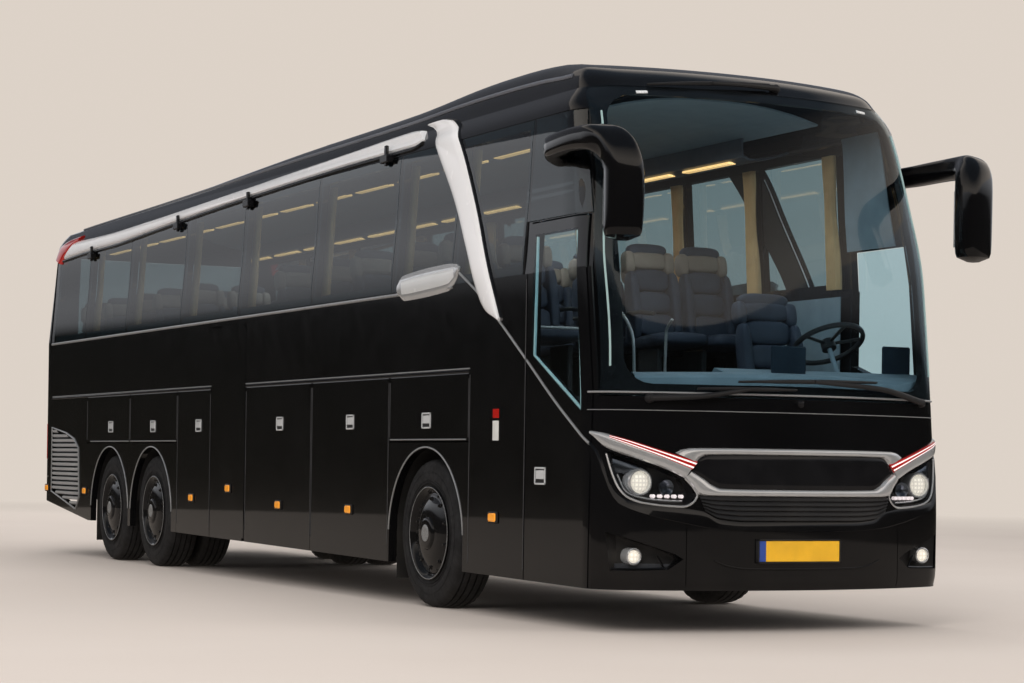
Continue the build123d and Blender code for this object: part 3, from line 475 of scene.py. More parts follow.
screen_glass = glass("screen_glass", (0.84, 0.935, 0.975), ior=1.52, film=0.01)
lens_clear = glass("lens_clear", (0.93, 0.94, 0.95), ior=1.45)
lens_red = lens("lens_red", (0.35, 0.010, 0.008), (1.0, 0.03, 0.02), 0.25)
lens_amber = lens("lens_amber", (0.75, 0.25, 0.03), (1.0, 0.40, 0.04), 0.9)
lens_white = lens("lens_white", (0.75, 0.76, 0.78), (1.0, 0.98, 0.95), 0.3, 60)
strip_glow = lens("strip_glow", (0.9, 0.85, 0.85), (1.0, 0.86, 0.84), 1.1, 150)
lamp_glow = lens("lamp_glow", (0.9, 0.85, 0.75), (1.0, 0.92, 0.78), 0.75, 40)
cabin_glow = lens("cabin_glow", (0.9, 0.62, 0.32), (1.0, 0.55, 0.20), 2.6, 40)
plate_yellow = plastic("plate_yellow", (0.80, 0.43, 0.010), 0.4, 200, 0.0001, 0.1)
plate_blue = plastic("plate_blue", (0.02, 0.06, 0.30), 0.4, 200, 0.0001, 0.1)
plate_white = plastic("plate_white", (0.62, 0.62, 0.60), 0.4, 200, 0.0001, 0.1)
navy_leather = leather("navy_leather", (0.020, 0.026, 0.040), (0.032, 0.040, 0.058))
beige_leather = leather("beige_leather", (0.150, 0.118, 0.092), (0.20, 0.158, 0.125))
curtain_cloth = cloth("curtain_cloth", (0.44, 0.27, 0.12), (0.60, 0.39, 0.19))
ceiling_cloth = cloth("ceiling_cloth", (0.16, 0.195, 0.225), (0.21, 0.25, 0.285), 500)
# Pale teal for bars along the glass edges: a painted highlight, the bright line along a glass edge.
glass_edge = plastic("glass_edge", (0.32, 0.45, 0.45), 0.25, 300, 0.00005, 0)
cab_grey = plastic("cab_grey", (0.105, 0.135, 0.155), 0.5, 500, 0.0003, 0)
seam_grey = plastic("seam_grey", (0.055, 0.055, 0.058), 0.3, 300, 0.0001, 0)
carpet = cloth("carpet", (0.030, 0.032, 0.038), (0.055, 0.057, 0.064), 300, 0.1, 0.002)
dash_plastic = plastic("dash_plastic", (0.13, 0.165, 0.19), 0.5, 500, 0.0003, 0)
dash_beige = plastic("dash_beige", (0.42, 0.34, 0.26), 0.5, 500, 0.0003, 0)
rack_plastic = plastic("rack_plastic", (0.060, 0.068, 0.085), 0.45, 500, 0.0003, 0)
blank_screen = plastic("blank_screen", (0.012, 0.018, 0.026), 0.06, 300, 0.00002, 0)


# ---- meshes ----
def make(name, points, faces, material, body="coach_body", sharp=32):
    """A piece from points and faces, with its normals turned outwards."""
    mesh = bpy.data.meshes.new(name)
    mesh.from_pydata([tuple(p) for p in points], [], faces)
    piece = bpy.data.objects.new(name, mesh)
    bpy.context.scene.collection.objects.link(piece)
    face_out(mesh)
    mesh.shade_smooth()
    mesh.set_sharp_from_angle(angle=math.radians(sharp))
    mesh.materials.append(material)
    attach(piece, body)
    return piece


def face_out(mesh):
    """Joins doubled points and turns the faces outwards."""
    work = bmesh.new()
    work.from_mesh(mesh)
    bmesh.ops.remove_doubles(work, verts=work.verts, dist=1e-6)
    bmesh.ops.recalc_face_normals(work, faces=work.faces)
    work.to_mesh(mesh)
    work.free()


class Shape:
    """Points and faces gathered from several solids, made into one piece."""

    def __init__(self):
        self.points, self.faces = [], []

    def add(self, points, faces):
        base = len(self.points)
        self.points += [Vector(p) for p in points]
        self.faces += [tuple(base + i for i in face) for face in faces]
        return self

    def skin(self, rows, thick=0.0, backs=None):
        """A sheet through rows of points, thickened inwards into a closed slab."""
        high, wide = len(rows), len(rows[0])
        front = [Vector(p) for row in rows for p in row]
        if backs is not None:
            back = [Vector(p) for row in backs for p in row]
        else:
            back = []
            for r in range(high):
                for c in range(wide):
                    along = rows[r][min(c + 1, wide - 1)] - rows[r][max(c - 1, 0)]
                    up = rows[min(r + 1, high - 1)][c] - rows[max(r - 1, 0)][c]
                    back.append(rows[r][c] - along.cross(up).normalized() * thick)
        count = high * wide
        faces = []
        for r in range(high - 1):
            for c in range(wide - 1):
                a = r * wide + c
                faces += [(a, a + 1, a + wide + 1, a + wide),
                          (count + a, count + a + wide, count + a + wide + 1, count + a + 1)]
        rim = ([c for c in range(wide)] + [r * wide + wide - 1 for r in range(1, high)]
               + [(high - 1) * wide + c for c in range(wide - 2, -1, -1)]
               + [r * wide for r in range(high - 2, 0, -1)])
        faces += [(a, count + a, count + b, b) for a, b in zip(rim, rim[1:] + rim[:1])]
        return self.add(front + back, faces)

    def prism(self, outline_points, lower, upper):
        """A closed outline moved by two offsets, with a face at each."""
        n = len(outline_points)
        points = [Vector(p) + Vector(lower) for p in outline_points]
        points += [Vector(p) + Vector(upper) for p in outline_points]
        faces = [tuple(range(n)), tuple(range(n, 2 * n))]
        faces += [(i, (i + 1) % n, n + (i + 1) % n, n + i) for i in range(n)]
        return self.add(points, faces)

    def box(self, low, high, bevel=0.0):
        """A block with bevelled edges."""
        low, high = Vector(low), Vector(high)
        bevel = min(bevel, *((high - low) / 2.01))
        if bevel <= 0:
            corners = [(x, y) for x, y in ((low.x, low.y), (high.x, low.y),
                                           (high.x, high.y), (low.x, high.y))]
            return self.prism([(x, y, 0) for x, y in corners], (0, 0, low.z), (0, 0, high.z))
        rings = []
        for z, shrink in ((low.z, bevel), (low.z + bevel, 0), (high.z - bevel, 0), (high.z, bevel)):
            x0, x1, y0, y1 = low.x + shrink, high.x - shrink, low.y + shrink, high.y - shrink
            b = bevel if shrink == 0 else bevel * 0.4
            rings.append([Vector(p) for p in (
                (x0 + b, y0, z), (x1 - b, y0, z), (x1, y0 + b, z), (x1, y1 - b, z),
                (x1 - b, y1, z), (x0 + b, y1, z), (x0, y1 - b, z), (x0, y0 + b, z))])
        return self.tube(rings)

    def tube(self, rings, closed=False):
        """A tube through rings of points, capped unless it closes on itself."""
        n, count = len(rings[0]), len(rings)
        points = [p for ring in rings for p in ring]
        faces = []
        for r in range(count if closed else count - 1):
            a, b = r * n, ((r + 1) % count) * n
            faces += [(a + i, a + (i + 1) % n, b + (i + 1) % n, b + i) for i in range(n)]
        if not closed:
            faces += [tuple(range(n)), tuple(range((count - 1) * n, count * n))]
        return self.add(points, faces)

    def lathe(self, profile, origin, axis, turns=48):
        """A solid of revolution: profile holds (place along axis, radius), radius 0 closes it."""
        axis = Vector(axis).normalized()
        across = axis.orthogonal().normalized()
        over = axis.cross(across)
        rings = []
        for place, radius in profile:
            centre = Vector(origin) + axis * place
            radius = max(radius, 1e-4)
            rings.append([centre + (across * math.cos(a) + over * math.sin(a)) * radius
                          for a in (2 * math.pi * i / turns for i in range(turns))])
        return self.tube(rings)

    def ring(self, profile, origin, axis, turns=64):
        """A ring of revolution from a closed profile of (place along axis, radius)."""
        axis = Vector(axis).normalized()
        across = axis.orthogonal().normalized()
        over = axis.cross(across)
        rings = []
        for i in range(turns):
            a = 2 * math.pi * i / turns
            way = across * math.cos(a) + over * math.sin(a)
            rings.append([Vector(origin) + axis * p + way * r for p, r in profile])
        return self.tube(rings, closed=True)

    def pipe(self, path, radius, sides=12):
        """A round bar along a path of points, its radius one number or one for each point."""
        path = [Vector(p) for p in path]
        radii = radius if isinstance(radius, (list, tuple)) else [radius] * len(path)
        rings, across = [], None
        for i, point in enumerate(path):
            way = (path[min(i + 1, len(path) - 1)] - path[max(i - 1, 0)]).normalized()
            across = (way.orthogonal() if across is None
                      else across - way * across.dot(way)).normalized()
            over = way.cross(across)
            rings.append([point + (across * math.cos(a) + over * math.sin(a)) * radii[i]
                          for a in (2 * math.pi * k / sides for k in range(sides))])
        return self.tube(rings)

    def mirrored(self):
        """The same again on the other side of the coach."""
        return self.add(mirror_points(self.points), list(self.faces))

    def piece(self, name, material, body="coach_body", slot=None, sharp=32):
        return make(name, self.points, self.faces, material, body, sharp)


def rounded(line, count=48):
    """A smooth curve through a polyline's points, as count points."""
    line = [Vector((*p, 0)) if len(p) == 2 else Vector(p) for p in line]
    runs = [0.0]
    for a, b in zip(line, line[1:]):
        runs.append(runs[-1] + (b - a).length)
    curves = [smooth(runs, [p[i] for p in line]) for i in range(3)]
    return [Vector([c(runs[-1] * k / (count - 1)) for c in curves]) for k in range(count)]


def line_on_front(points, count, out):
    """A smooth line on the front through points in x and z."""
    return [on_front(p.x, p.y, out) for p in rounded(points, count)]


def flipped(points):
    """An outline in x and z on the other side of the coach."""
    return [(-x, z) for x, z in points]


def both(points):
    """A line from the middle, continued to both sides."""
    return flipped(points[:0:-1]) + points


def between(first, second, share, count=24):
    """A line at a share of the way from one line to another."""
    return [tuple(a.lerp(b, share))[:2]
            for a, b in zip(rounded(first, count), rounded(second, count))]


def quad_rows(corners, place, rows=14, columns=14):
    """Rows of points in a four-cornered field: bottom front, bottom rear, top rear, top front."""
    a, b, c, d = [Vector((*p, 0)) for p in corners]
    made = []
    for r in range(rows):
        v = r / (rows - 1)
        first, last = a.lerp(d, v), b.lerp(c, v)
        made.append([place(*tuple(first.lerp(last, k / (columns - 1)))[:2])
                     for k in range(columns)])
    return made


def field(first, last, low, high):
    """Corners of an upright field on a side, in quad_rows's order."""
    return [(first, low), (last, low), (last, high), (first, high)]


def strip(shape, top, bottom, place, height, count=40, across=6, inset=0.004, crown=True):
    """A raised strip between two edges given in place's own two coordinates."""
    top, bottom = rounded(top, count), rounded(bottom, count)
    rows, backs = [], []
    for j in range(across + 1):
        v = j / across
        if crown:
            lift = height * math.sqrt(max(0.0, 1 - (2 * v - 1) ** 2)) ** 0.7
        else:
            lift = height if 0 < j < across else height * 0.3
        row, back = [], []
        for a, b in zip(top, bottom):
            p = a.lerp(b, v)
            row.append(place(p.x, p.y, lift))
            back.append(place(p.x, p.y, -inset))
        rows.append(row)
        backs.append(back)
    return shape.skin(rows, backs=backs)


def level_strip(shape, stops, high, low, place, *sizes, **more):
    """A raised strip between two heights, through stops along it."""
    return strip(shape, [(stop, high) for stop in stops], [(stop, low) for stop in stops],
                 place, *sizes, **more)


def cut(piece, cutters):
    """Takes solids out of a piece."""
    for shape in cutters:
        tool = shape.piece(piece.name + "_cut", seal_rubber)
        change = piece.modifiers.new("cut", "BOOLEAN")
        change.operation, change.solver, change.object = "DIFFERENCE", "EXACT", tool
        bpy.context.view_layer.update()
        found = piece.evaluated_get(bpy.context.evaluated_depsgraph_get())
        mesh = bpy.data.meshes.new_from_object(found)
        piece.modifiers.clear()
        piece.data = mesh
        bpy.data.objects.remove(tool)
    piece.data.set_sharp_from_angle(angle=math.radians(32))
    return piece


def pair(build, name, material, **more):
    """The same piece on both sides: build(shape) makes the left one."""
    shape = Shape()
    build(shape)
    return shape.mirrored().piece(name, material, **more)


def repaint(material, *nodes):
    """A better material for CAD nodes whose shape is right."""
    for node in nodes:
        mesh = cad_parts[node].data
        mesh.materials.clear()
        mesh.materials.append(material)


# ---- camera, floor and light ----
CAMERA_PLACE, CAMERA_YAW, CAMERA_ROLL = (-8.043, at(-15.2105), 1.0223), 0.45692, 0.01502
SENSOR, LENS_LENGTH, SHIFT = 36.0, 83.45, (-0.0041, 0.1184)
BACKDROP = (0.72, 0.645, 0.575)
FLAG_HEIGHT, FLAG_ACROSS, FLAG_ALONG, FLAG_TURNS = 9.0, 18.0, 30.0, 72


def make_camera():
    """Camera on the right of the front, level along its shift and slightly rolled."""
    data = bpy.data.cameras.new("camera")
    data.sensor_width, data.lens = SENSOR, LENS_LENGTH
    data.shift_x, data.shift_y = SHIFT
    data.clip_end = 400
    camera = bpy.data.objects.new("camera", data)
    bpy.context.scene.collection.objects.link(camera)
    yaw, roll = CAMERA_YAW, CAMERA_ROLL
    ahead = Vector((math.sin(yaw), math.cos(yaw), 0))
    right, up = Vector((math.cos(yaw), -math.sin(yaw), 0)), Vector((0, 0, 1))
    tilted = right * math.cos(roll) + up * math.sin(roll)
    above = up * math.cos(roll) - right * math.sin(roll)
    turn = Matrix((tilted, above, -ahead)).transposed()
    camera.matrix_world = Matrix.Translation(CAMERA_PLACE) @ turn.to_4x4()
    bpy.context.scene.camera = camera


def stage_piece(name, points, faces, material, hidden=()):
    """Floor or card round the coach, left out of some kinds of ray."""
    mesh = bpy.data.meshes.new(name)
    mesh.from_pydata(points, [], faces)
    mesh.materials.append(material)
    piece = bpy.data.objects.new(name, mesh)
    bpy.context.scene.collection.objects.link(piece)
    for ray in hidden:
        setattr(piece, f"visible_{ray}", False)


def make_world():
    """Plain light all round, and the backdrop's colour where the world itself is seen."""
    scene = bpy.context.scene
    scene.view_settings.view_transform = "Standard"
    world = bpy.data.worlds.new("studio")
    world.use_nodes = True
    scene.world = world
    f = Finish("studio", world.node_tree)
    path = f.node("ShaderNodeLightPath")
    shown = f.ray(path, "Camera") + f.ray(path, "Glossy") + f.ray(path, "Transmission")
    way = Value(f, f.node("ShaderNodeTexCoord").outputs["Generated"])
    dim = f.spread(f.dot(way, (0, 0, 1)), 0.40, 0.72) * f.ray(path, "Glossy")
    seen = f.value("ShaderNodeBackground", {},
                   {"Color": f.blend(dim, BACKDROP, (0.055, 0.07, 0.09)), "Strength": 1.0})
    lit = f.value("ShaderNodeBackground", {}, {"Color": (1.0, 0.985, 0.965), "Strength": 0.62})
    shader = f.mix(f.spread(shown, 0, 1), lit, seen)
    f.node("ShaderNodeOutputWorld", {}, {"Surface": shader})


def make_floor():
    """Paper floor that fades into the backdrop, and is dark in glossy reflections."""
    f = Finish("floor_paper")
    shade = f.blend(f.cloud(0.25, 4), (0.66, 0.585, 0.535), (0.70, 0.625, 0.575))
    paper = f.surface(Base_Color=shade, Roughness=0.9, Normal=f.bump(f.noise(90, 3), 0.0004, 0.3))
    far = f.value("ShaderNodeVectorMath", {"operation": "LENGTH"}, {0: f.place()}, "Value")
    wall = f.glow(BACKDROP)
    paper = f.mix(f.spread(far, 17.0, 34.0), paper, wall)
    path = f.node("ShaderNodeLightPath")
    dark = f.glow((0.115, 0.098, 0.083))
    paper = f.done(f.mix(f.ray(path, "Glossy") * 0.85, paper, dark))
    stage_piece("floor", [(-150, -60, 0), (150, -60, 0), (150, 300, 0), (-150, 300, 0)],
                [(0, 1, 2, 3)], paper)


def make_flag():
    """A ring round the studio that only gloss sees, dark below and grading into the backdrop."""
    f = Finish("studio_flag")
    height = f.dot(f.place(), (0.045, 0, 1))
    ahead = f.value("ShaderNodeMath", {"operation": "MINIMUM"},
                    {0: f.dot(f.place(), (0, 1, 0)), 1: 0.0})
    rise = f.spread(height + ahead * 0.2, 0.0, FLAG_HEIGHT)
    ramp = f.value("ShaderNodeValToRGB", {"stops": [
        (0.0, (0.016, 0.014, 0.010)), (0.38, (0.008, 0.008, 0.007)), (0.48, (0.27, 0.275, 0.29)),
        (0.75, (0.50, 0.51, 0.54)), (1.0, (0.66, 0.67, 0.70))]}, {0: rise})
    card = f.done(f.glow(ramp))
    points, faces = [], []
    for i in range(FLAG_TURNS):
        a = 2 * math.pi * i / FLAG_TURNS
        for z in (0.01, FLAG_HEIGHT):
            points.append((FLAG_ACROSS * math.cos(a), FLAG_ALONG * math.sin(a), z))
        j = (i + 1) % FLAG_TURNS
        faces.append((2 * i, 2 * j, 2 * j + 1, 2 * i + 1))
    stage_piece("flag", points, faces, card, ("camera", "diffuse", "shadow", "transmission"))


def make_card():
    """A dim card behind the coach, seen only in gloss."""
    f = Finish("studio_card")
    card = f.done(f.glow((0.10, 0.105, 0.12)))
    stage_piece("card", [(-60, 42, 9), (60, 42, 9), (60, 42, 34), (-60, 42, 34)], [(0, 1, 2, 3)],
                card, ("camera", "diffuse", "shadow", "transmission"))


def make_lights():
    """Soft lamps round the coach and a row under its ceiling."""
    lamps = [(f"cabin_{k}", (0.0, at(-1.2 + 2.3 * k), 3.24), 0.9, 22, (0, at(-1.2 + 2.3 * k), 1.5))
             for k in range(5)]
    lamps += [("key", (-16, -20, 15), 14, 2300, (0, -3, 1.5)),
              ("fill", (14, -18, 10), 12, 900, (0, -4, 1.5)),
              ("back", (4, 24, 14), 14, 1300, (0, 4, 2)), ("top", (0, 0, 16), 14, 900, (0, 0, 0))]
    for name, place, size, power, aim in lamps:
        data = bpy.data.lights.new(name, "AREA")
        data.shape, data.size, data.energy = "DISK", size, power
        data.color = (1.0, 0.975, 0.945)
        light = bpy.data.objects.new(name, data)
        light.location = place
        light.rotation_euler = (Vector(aim) - Vector(place)).to_track_quat("-Z", "Y").to_euler()
        light.visible_glossy = False
        bpy.context.scene.collection.objects.link(light)


make_camera()
make_world()
make_floor()
make_flag()
make_card()
make_lights()


# ---- front: smooth skin, glass and its black border ----
def edge_width(step, z, margin=0.0):
    """Half of the front pieces' width, round the corner to the leaning screen edge."""
    return width_at_place(SCREEN_EDGE + LEAN(z) - margin, step)


def front_rows(low, high, rows, columns, margin=0.002, out=0.0):
    """Rows of points across the front between two heights."""
    made = []
    for r in range(rows):
        z = low + (high - low) * r / (rows - 1)
        step = step_of(z)
        reach = edge_width(step, z, margin)
        made.append([end_point(reach * (2 * c / (columns - 1) - 1), step, -1, out)
                     for c in range(columns)])
    return made


def prism_cutter(points, depth=0.6):
    """Cutter through the front from an outline in x and z."""
    return Shape().prism([(x, 0, z) for x, z in points], (0, at(FRONT) - 0.3, 0),
                         (0, at(FRONT) + depth, 0))


screen = Shape().skin(front_rows(SCREEN_Z + 0.001, SCREEN_TOP, 48, 64), 0.008)
screen = screen.piece("windscreen_glass", screen_glass, slot="screen_glass")
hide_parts("windscreen")


OPENING_LOW, OPENING_HIGH, OPENING_HALF, OPENING_BEND = 1.515, 3.335, 1.105, 0.16
BORDER_COLUMNS, BORDER_STEPS = 40, 8


def opening_point(edge, share):
    """Place x, z on the rounded opening, at a share along one of its four edges."""
    across, up = {"low": (2 * share - 1, -1), "right": (1, 2 * share - 1),
                  "high": (1 - 2 * share, 1), "left": (-1, 1 - 2 * share)}[edge]
    middle, half_z = (OPENING_LOW + OPENING_HIGH) / 2, (OPENING_HIGH - OPENING_LOW) / 2
    half_x, bend = OPENING_HALF - 0.05 * max(0, up), OPENING_BEND
    x, rise = across * half_x, up * half_z
    over_x, over_z = abs(x) - (half_x - bend), abs(rise) - (half_z - bend)
    if over_x > 0 and over_z > 0:
        far = math.hypot(over_x, over_z)
        x = math.copysign(half_x - bend + over_x * bend / far, x)
        rise = math.copysign(half_z - bend + over_z * bend / far, rise)
    return x, middle + rise


def screen_border(shape):
    """Black border round the glass, from its edge to a rounded opening."""
    low, high, n = SCREEN_Z + 0.004, SCREEN_TOP - 0.002, BORDER_COLUMNS

    def reach(z):
        return edge_width(step_of(z), z, 0.006)

    # width round the front, height, edge and share along it
    rim = [(-reach(low) + 2 * reach(low) * i / n, low, "low", i / n) for i in range(n)]
    climb = [low + (high - low) * i / n for i in range(n)]
    rim += [(reach(z), z, "right", i / n) for i, z in enumerate(climb)]
    rim += [(reach(high) - 2 * reach(high) * i / n, high, "high", i / n) for i in range(n)]
    drop = [high - (high - low) * i / n for i in range(n)]
    rim += [(-reach(z), z, "left", i / n) for i, z in enumerate(drop)]
    spokes = []
    for width, z, edge, share in rim:
        inner_x, inner_z = opening_point(edge, share)
        inner = width_at_x(inner_x, step_of(inner_z))
        spokes.append([(width + (inner - width) * k / BORDER_STEPS,
                        z + (inner_z - z) * k / BORDER_STEPS) for k in range(BORDER_STEPS + 1)])
    rings = []
    for out, order in ((-0.009, range(BORDER_STEPS + 1)), (-0.045, range(BORDER_STEPS, -1, -1))):
        rings += [[end_point(spoke[k][0], step_of(spoke[k][1]), -1, out) for spoke in spokes]
                  for k in order]
    return shape.tube(rings, closed=True)


border = screen_border(Shape()).piece("screen_border", gloss_black, slot="black_trim")
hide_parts("front_frame")

HEADLAMP = [(1.217, 1.104), (0.995, 1.030), (0.778, 0.946), (0.728, 0.890), (0.701, 0.841),
            (0.735, 0.792), (0.788, 0.771), (0.891, 0.775), (1.026, 0.792), (1.109, 0.824),
            (1.157, 0.883), (1.188, 0.981)]
FOG_RECESS = [(1.222, 0.612), (1.050, 0.556), (0.840, 0.484), (0.790, 0.452), (0.880, 0.388),
              (1.200, 0.378)]
SHELF_LOW = [(0, 0.620), (0.390, 0.625), (0.628, 0.641), (0.779, 0.667), (1.009, 0.721),
             (1.156, 0.785), (1.206, 0.897), (1.236, 1.059), (1.262, 1.150)]
SHELF_TOP = [(0, 0.684), (0.387, 0.684), (0.563, 0.698), (0.653, 0.740), (0.803, 0.765),
             (1.110, 0.806), (1.159, 0.842), (1.194, 0.900), (1.226, 1.059), (1.258, 1.158)]

mask = Shape().skin(front_rows(0.262, SCREEN_Z - 0.003, 56, 90), 0.05)
mask = mask.piece("front_panels", coach_black, slot="body_paint")
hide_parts("front_mask", "front_bumper")
cut(mask, [prism_cutter(outline_points) for shape in (HEADLAMP, FOG_RECESS)
           for outline_points in (shape, flipped(shape))])


# ---- front: shelf, bumper and number plate ----
BUMPER_OUT, BUMPER_FOOT = 0.012, 0.276
FACE_HALF = 1.262
shelf_low = smooth([p[0] for p in SHELF_LOW], [p[1] for p in SHELF_LOW])
shelf_top = smooth([p[0] for p in SHELF_TOP], [p[1] for p in SHELF_TOP])


def bumper_panel(shape, first, last, columns):
    """Bumper face between two widths, its top edge on the shelf's lower line."""
    rows, backs = [], []
    for r in range(15):
        v = r / 14
        out = BUMPER_OUT * math.sqrt(min(1, v / 0.12)) if v < 0.12 else BUMPER_OUT
        row, back = [], []
        for c in range(columns):
            w = first + (last - first) * c / (columns - 1)
            x = abs(end_point(w, step_of(0.6)).x)
            z = BUMPER_FOOT + (shelf_low(min(x, FACE_HALF)) - BUMPER_FOOT) * v
            row.append(end_point(w, step_of(z), -1, out))
            back.append(end_point(w, step_of(z), -1, -0.002))
        rows.append(row)
        backs.append(back)
    return shape.skin(rows, backs=backs)


def shelf_face(shape):
    """The step over the bumper, between its two lines."""
    rows, backs = [], []
    for v, out in ((0, 0.0005), (0.08, 0.003), (0.5, 0.008), (0.94, BUMPER_OUT + 0.001),
                   (1, BUMPER_OUT - 0.002)):
        row, back = [], []
        for c in range(121):
            x = -FACE_HALF + 2 * FACE_HALF * c / 120
            z = shelf_top(abs(x)) * (1 - v) + shelf_low(abs(x)) * v
            row.append(on_front(x, z, out))
            back.append(on_front(x, z, -0.003))
        rows.append(row)
        backs.append(back)
    return shape.skin(rows, backs=backs)


SEAM = width_at_x(0.770, step_of(0.5))
END = edge_width(step_of(0.5), 0.5, 0.004)
bumper_panel(Shape(), -SEAM + 0.003, SEAM - 0.003, 50).piece(
    "bumper_middle", coach_black, slot="body_paint")
corner_panels = bumper_panel(Shape(), SEAM + 0.003, END, 26).mirrored()
corner_panels = corner_panels.piece("bumper_corners", coach_black, slot="body_paint")
cut(corner_panels, [prism_cutter(FOG_RECESS), prism_cutter(flipped(FOG_RECESS))])
shelf_face(Shape()).piece("bumper_shelf", coach_black, slot="body_paint", sharp=20)
lip = strip(Shape(), both([(0, 0.400), (0.386, 0.403), (0.507, 0.418), (0.598, 0.450)]),
            both([(0, 0.386), (0.386, 0.389), (0.507, 0.404), (0.600, 0.440)]),
            lifted(on_front, BUMPER_OUT), 0.006, 60)
lip.piece("bumper_crease", coach_black, slot="body_paint")

PLATE_FACE = FRONT - BUMPER_OUT


def on_plate(shape, low, high, proud):
    """Block on the bumper's face between two corners in x and z."""
    return shape.box((low[0], at(PLATE_FACE - proud), low[1]),
                     (high[0], at(PLATE_FACE + 0.03), high[1]), 0.002)


on_plate(Shape(), (-0.276, 0.440), (0.258, 0.568), 0.006).piece("front_plate", plate_yellow)
on_plate(Shape(), (-0.324, 0.440), (-0.276, 0.568), 0.006).piece("front_plate_band", plate_blue)
plate_frame = Shape()
for low, high in (((-0.333, 0.430), (0.267, 0.440)), ((-0.333, 0.568), (0.267, 0.578)),
                  ((-0.333, 0.430), (-0.324, 0.578)), ((0.258, 0.430), (0.267, 0.578))):
    on_plate(plate_frame, low, high, 0.010)
plate_frame.piece("front_plate_frame", satin_black)


# ---- front: bright wing, arch, bar and grille ----
WING_EDGE = [(1.258, 1.224), (1.216, 1.213), (1.156, 1.190), (0.930, 1.112), (0.720, 1.030)]
WING_TOP = [(1.186, 1.200), (1.130, 1.183), (0.930, 1.118), (0.700, 1.045)]
LIGHT_LOW = [(1.186, 1.180), (1.120, 1.148), (0.950, 1.082), (0.738, 0.995)]
WING_LOW = [(1.258, 1.204), (1.214, 1.128), (1.048, 1.056), (0.907, 1.006), (0.776, 0.944)]
BAR_TOP = [(0, 0.879), (0.374, 0.880), (0.551, 0.883), (0.612, 0.906), (0.664, 0.943),
           (0.734, 0.986)]
BAR_LOW = [(0, 0.837), (0.377, 0.837), (0.640, 0.838), (0.700, 0.848), (0.730, 0.888),
           (0.778, 0.946)]
ARCH_TOP = [(0, 1.131), (0.358, 1.131), (0.715, 1.128), (0.783, 1.119), (0.829, 1.096)]
ARCH_LOW = [(0, 1.091), (0.360, 1.091), (0.633, 1.087), (0.680, 1.068), (0.704, 1.041)]
PANEL_TOP = [(0, 1.089), (0.360, 1.089), (0.633, 1.084), (0.678, 1.064), (0.702, 1.040)]
PANEL_LOW = [(0, 0.882), (0.374, 0.883), (0.551, 0.886), (0.612, 0.909), (0.664, 0.946),
             (0.727, 0.986)]
GRILLE_TOP = [(0, 0.836), (0.692, 0.836)]
GRILLE_LOW = [(0, 0.686), (0.387, 0.686), (0.563, 0.700), (0.655, 0.745)]


def light_lines(shape):
    """The two bright lines along the light strip."""
    for first, last in ((0.16, 0.40), (0.60, 0.84)):
        strip(shape, between(WING_TOP, LIGHT_LOW, first), between(WING_TOP, LIGHT_LOW, last),
              lifted(on_front, 0.021), 0.006, 50, 4)


pair(lambda s: strip(s, WING_EDGE, WING_LOW, on_front, 0.020, 50, 10), "front_wing", chrome)
pair(lambda s: strip(s, WING_TOP, LIGHT_LOW, lifted(on_front, 0.013), 0.012, 50, 8),
     "light_strip_body", lens_red)
pair(light_lines, "light_strip_lines", strip_glow)
strip(Shape(), both(BAR_TOP), both(BAR_LOW), on_front, 0.022, 120, 8).piece("front_bar", chrome)
strip(Shape(), both(ARCH_TOP), both(ARCH_LOW), on_front, 0.020, 120, 8).piece("front_arch", chrome)
panel = strip(Shape(), both(PANEL_TOP), both(PANEL_LOW), on_front, 0.007, 120, 10, crown=False)
panel.piece("front_panel", gloss_black, slot="black_trim")


def lower_grille(shape):
    """Matt louvres between the bright bar and the shelf."""
    upper, lower = rounded(both(GRILLE_TOP), 80), rounded(both(GRILLE_LOW), 80)
    rows, backs = [], []
    for j in range(31):
        v = j / 30
        tooth = (v * 5) % 1
        out = 0.002 + 0.011 * min(1, tooth * 1.6) if 0 < j < 30 else 0.001
        line = [a.lerp(b, v) for a, b in zip(upper, lower)]
        rows.append([on_front(p.x, p.y, out) for p in line])
        backs.append([on_front(p.x, p.y, -0.004) for p in line])
    return shape.skin(rows, backs=backs)


lower_grille(Shape()).piece("front_grille", satin_black, slot="black_trim", sharp=20)
level_strip(Shape(), (-FACE_HALF, 0, FACE_HALF), 1.469, 1.455, on_front, 0.010,
            120).piece("screen_line", satin_silver)
# Thin satin-silver strip along the panel gap under the screen: a painted highlight standing in for
# the light on the gap's edge.
level_strip(Shape(), (-1.266, 0, 1.266), 1.356, 1.351, on_front, 0.003,
            120).piece("mask_line", satin_silver)
sensor = Shape().lathe([(-0.01, 0.026), (0.012, 0.026), (0.020, 0.022), (0.028, 0.012), (0.030, 0)],
                       on_front(0, 1.411), AHEAD, 24)
sensor.piece("rain_sensor", gloss_black)


# ---- lamps ----
def bowl(outline_points, stages, flip=1):
    """A closed dish behind an outline: stages hold (scale, depth out of the skin)."""
    middle_x = sum(p[0] for p in outline_points) / len(outline_points)
    middle_z = sum(p[1] for p in outline_points) / len(outline_points)
    line = [tuple(p)[:2] for p in rounded(outline_points + outline_points[:1], 61)][:-1]
    rings = []
    for scale, out in stages:
        rings.append([on_front(flip * (middle_x + (x - middle_x) * scale),
                               middle_z + (z - middle_z) * scale, out) for x, z in line])
    return rings


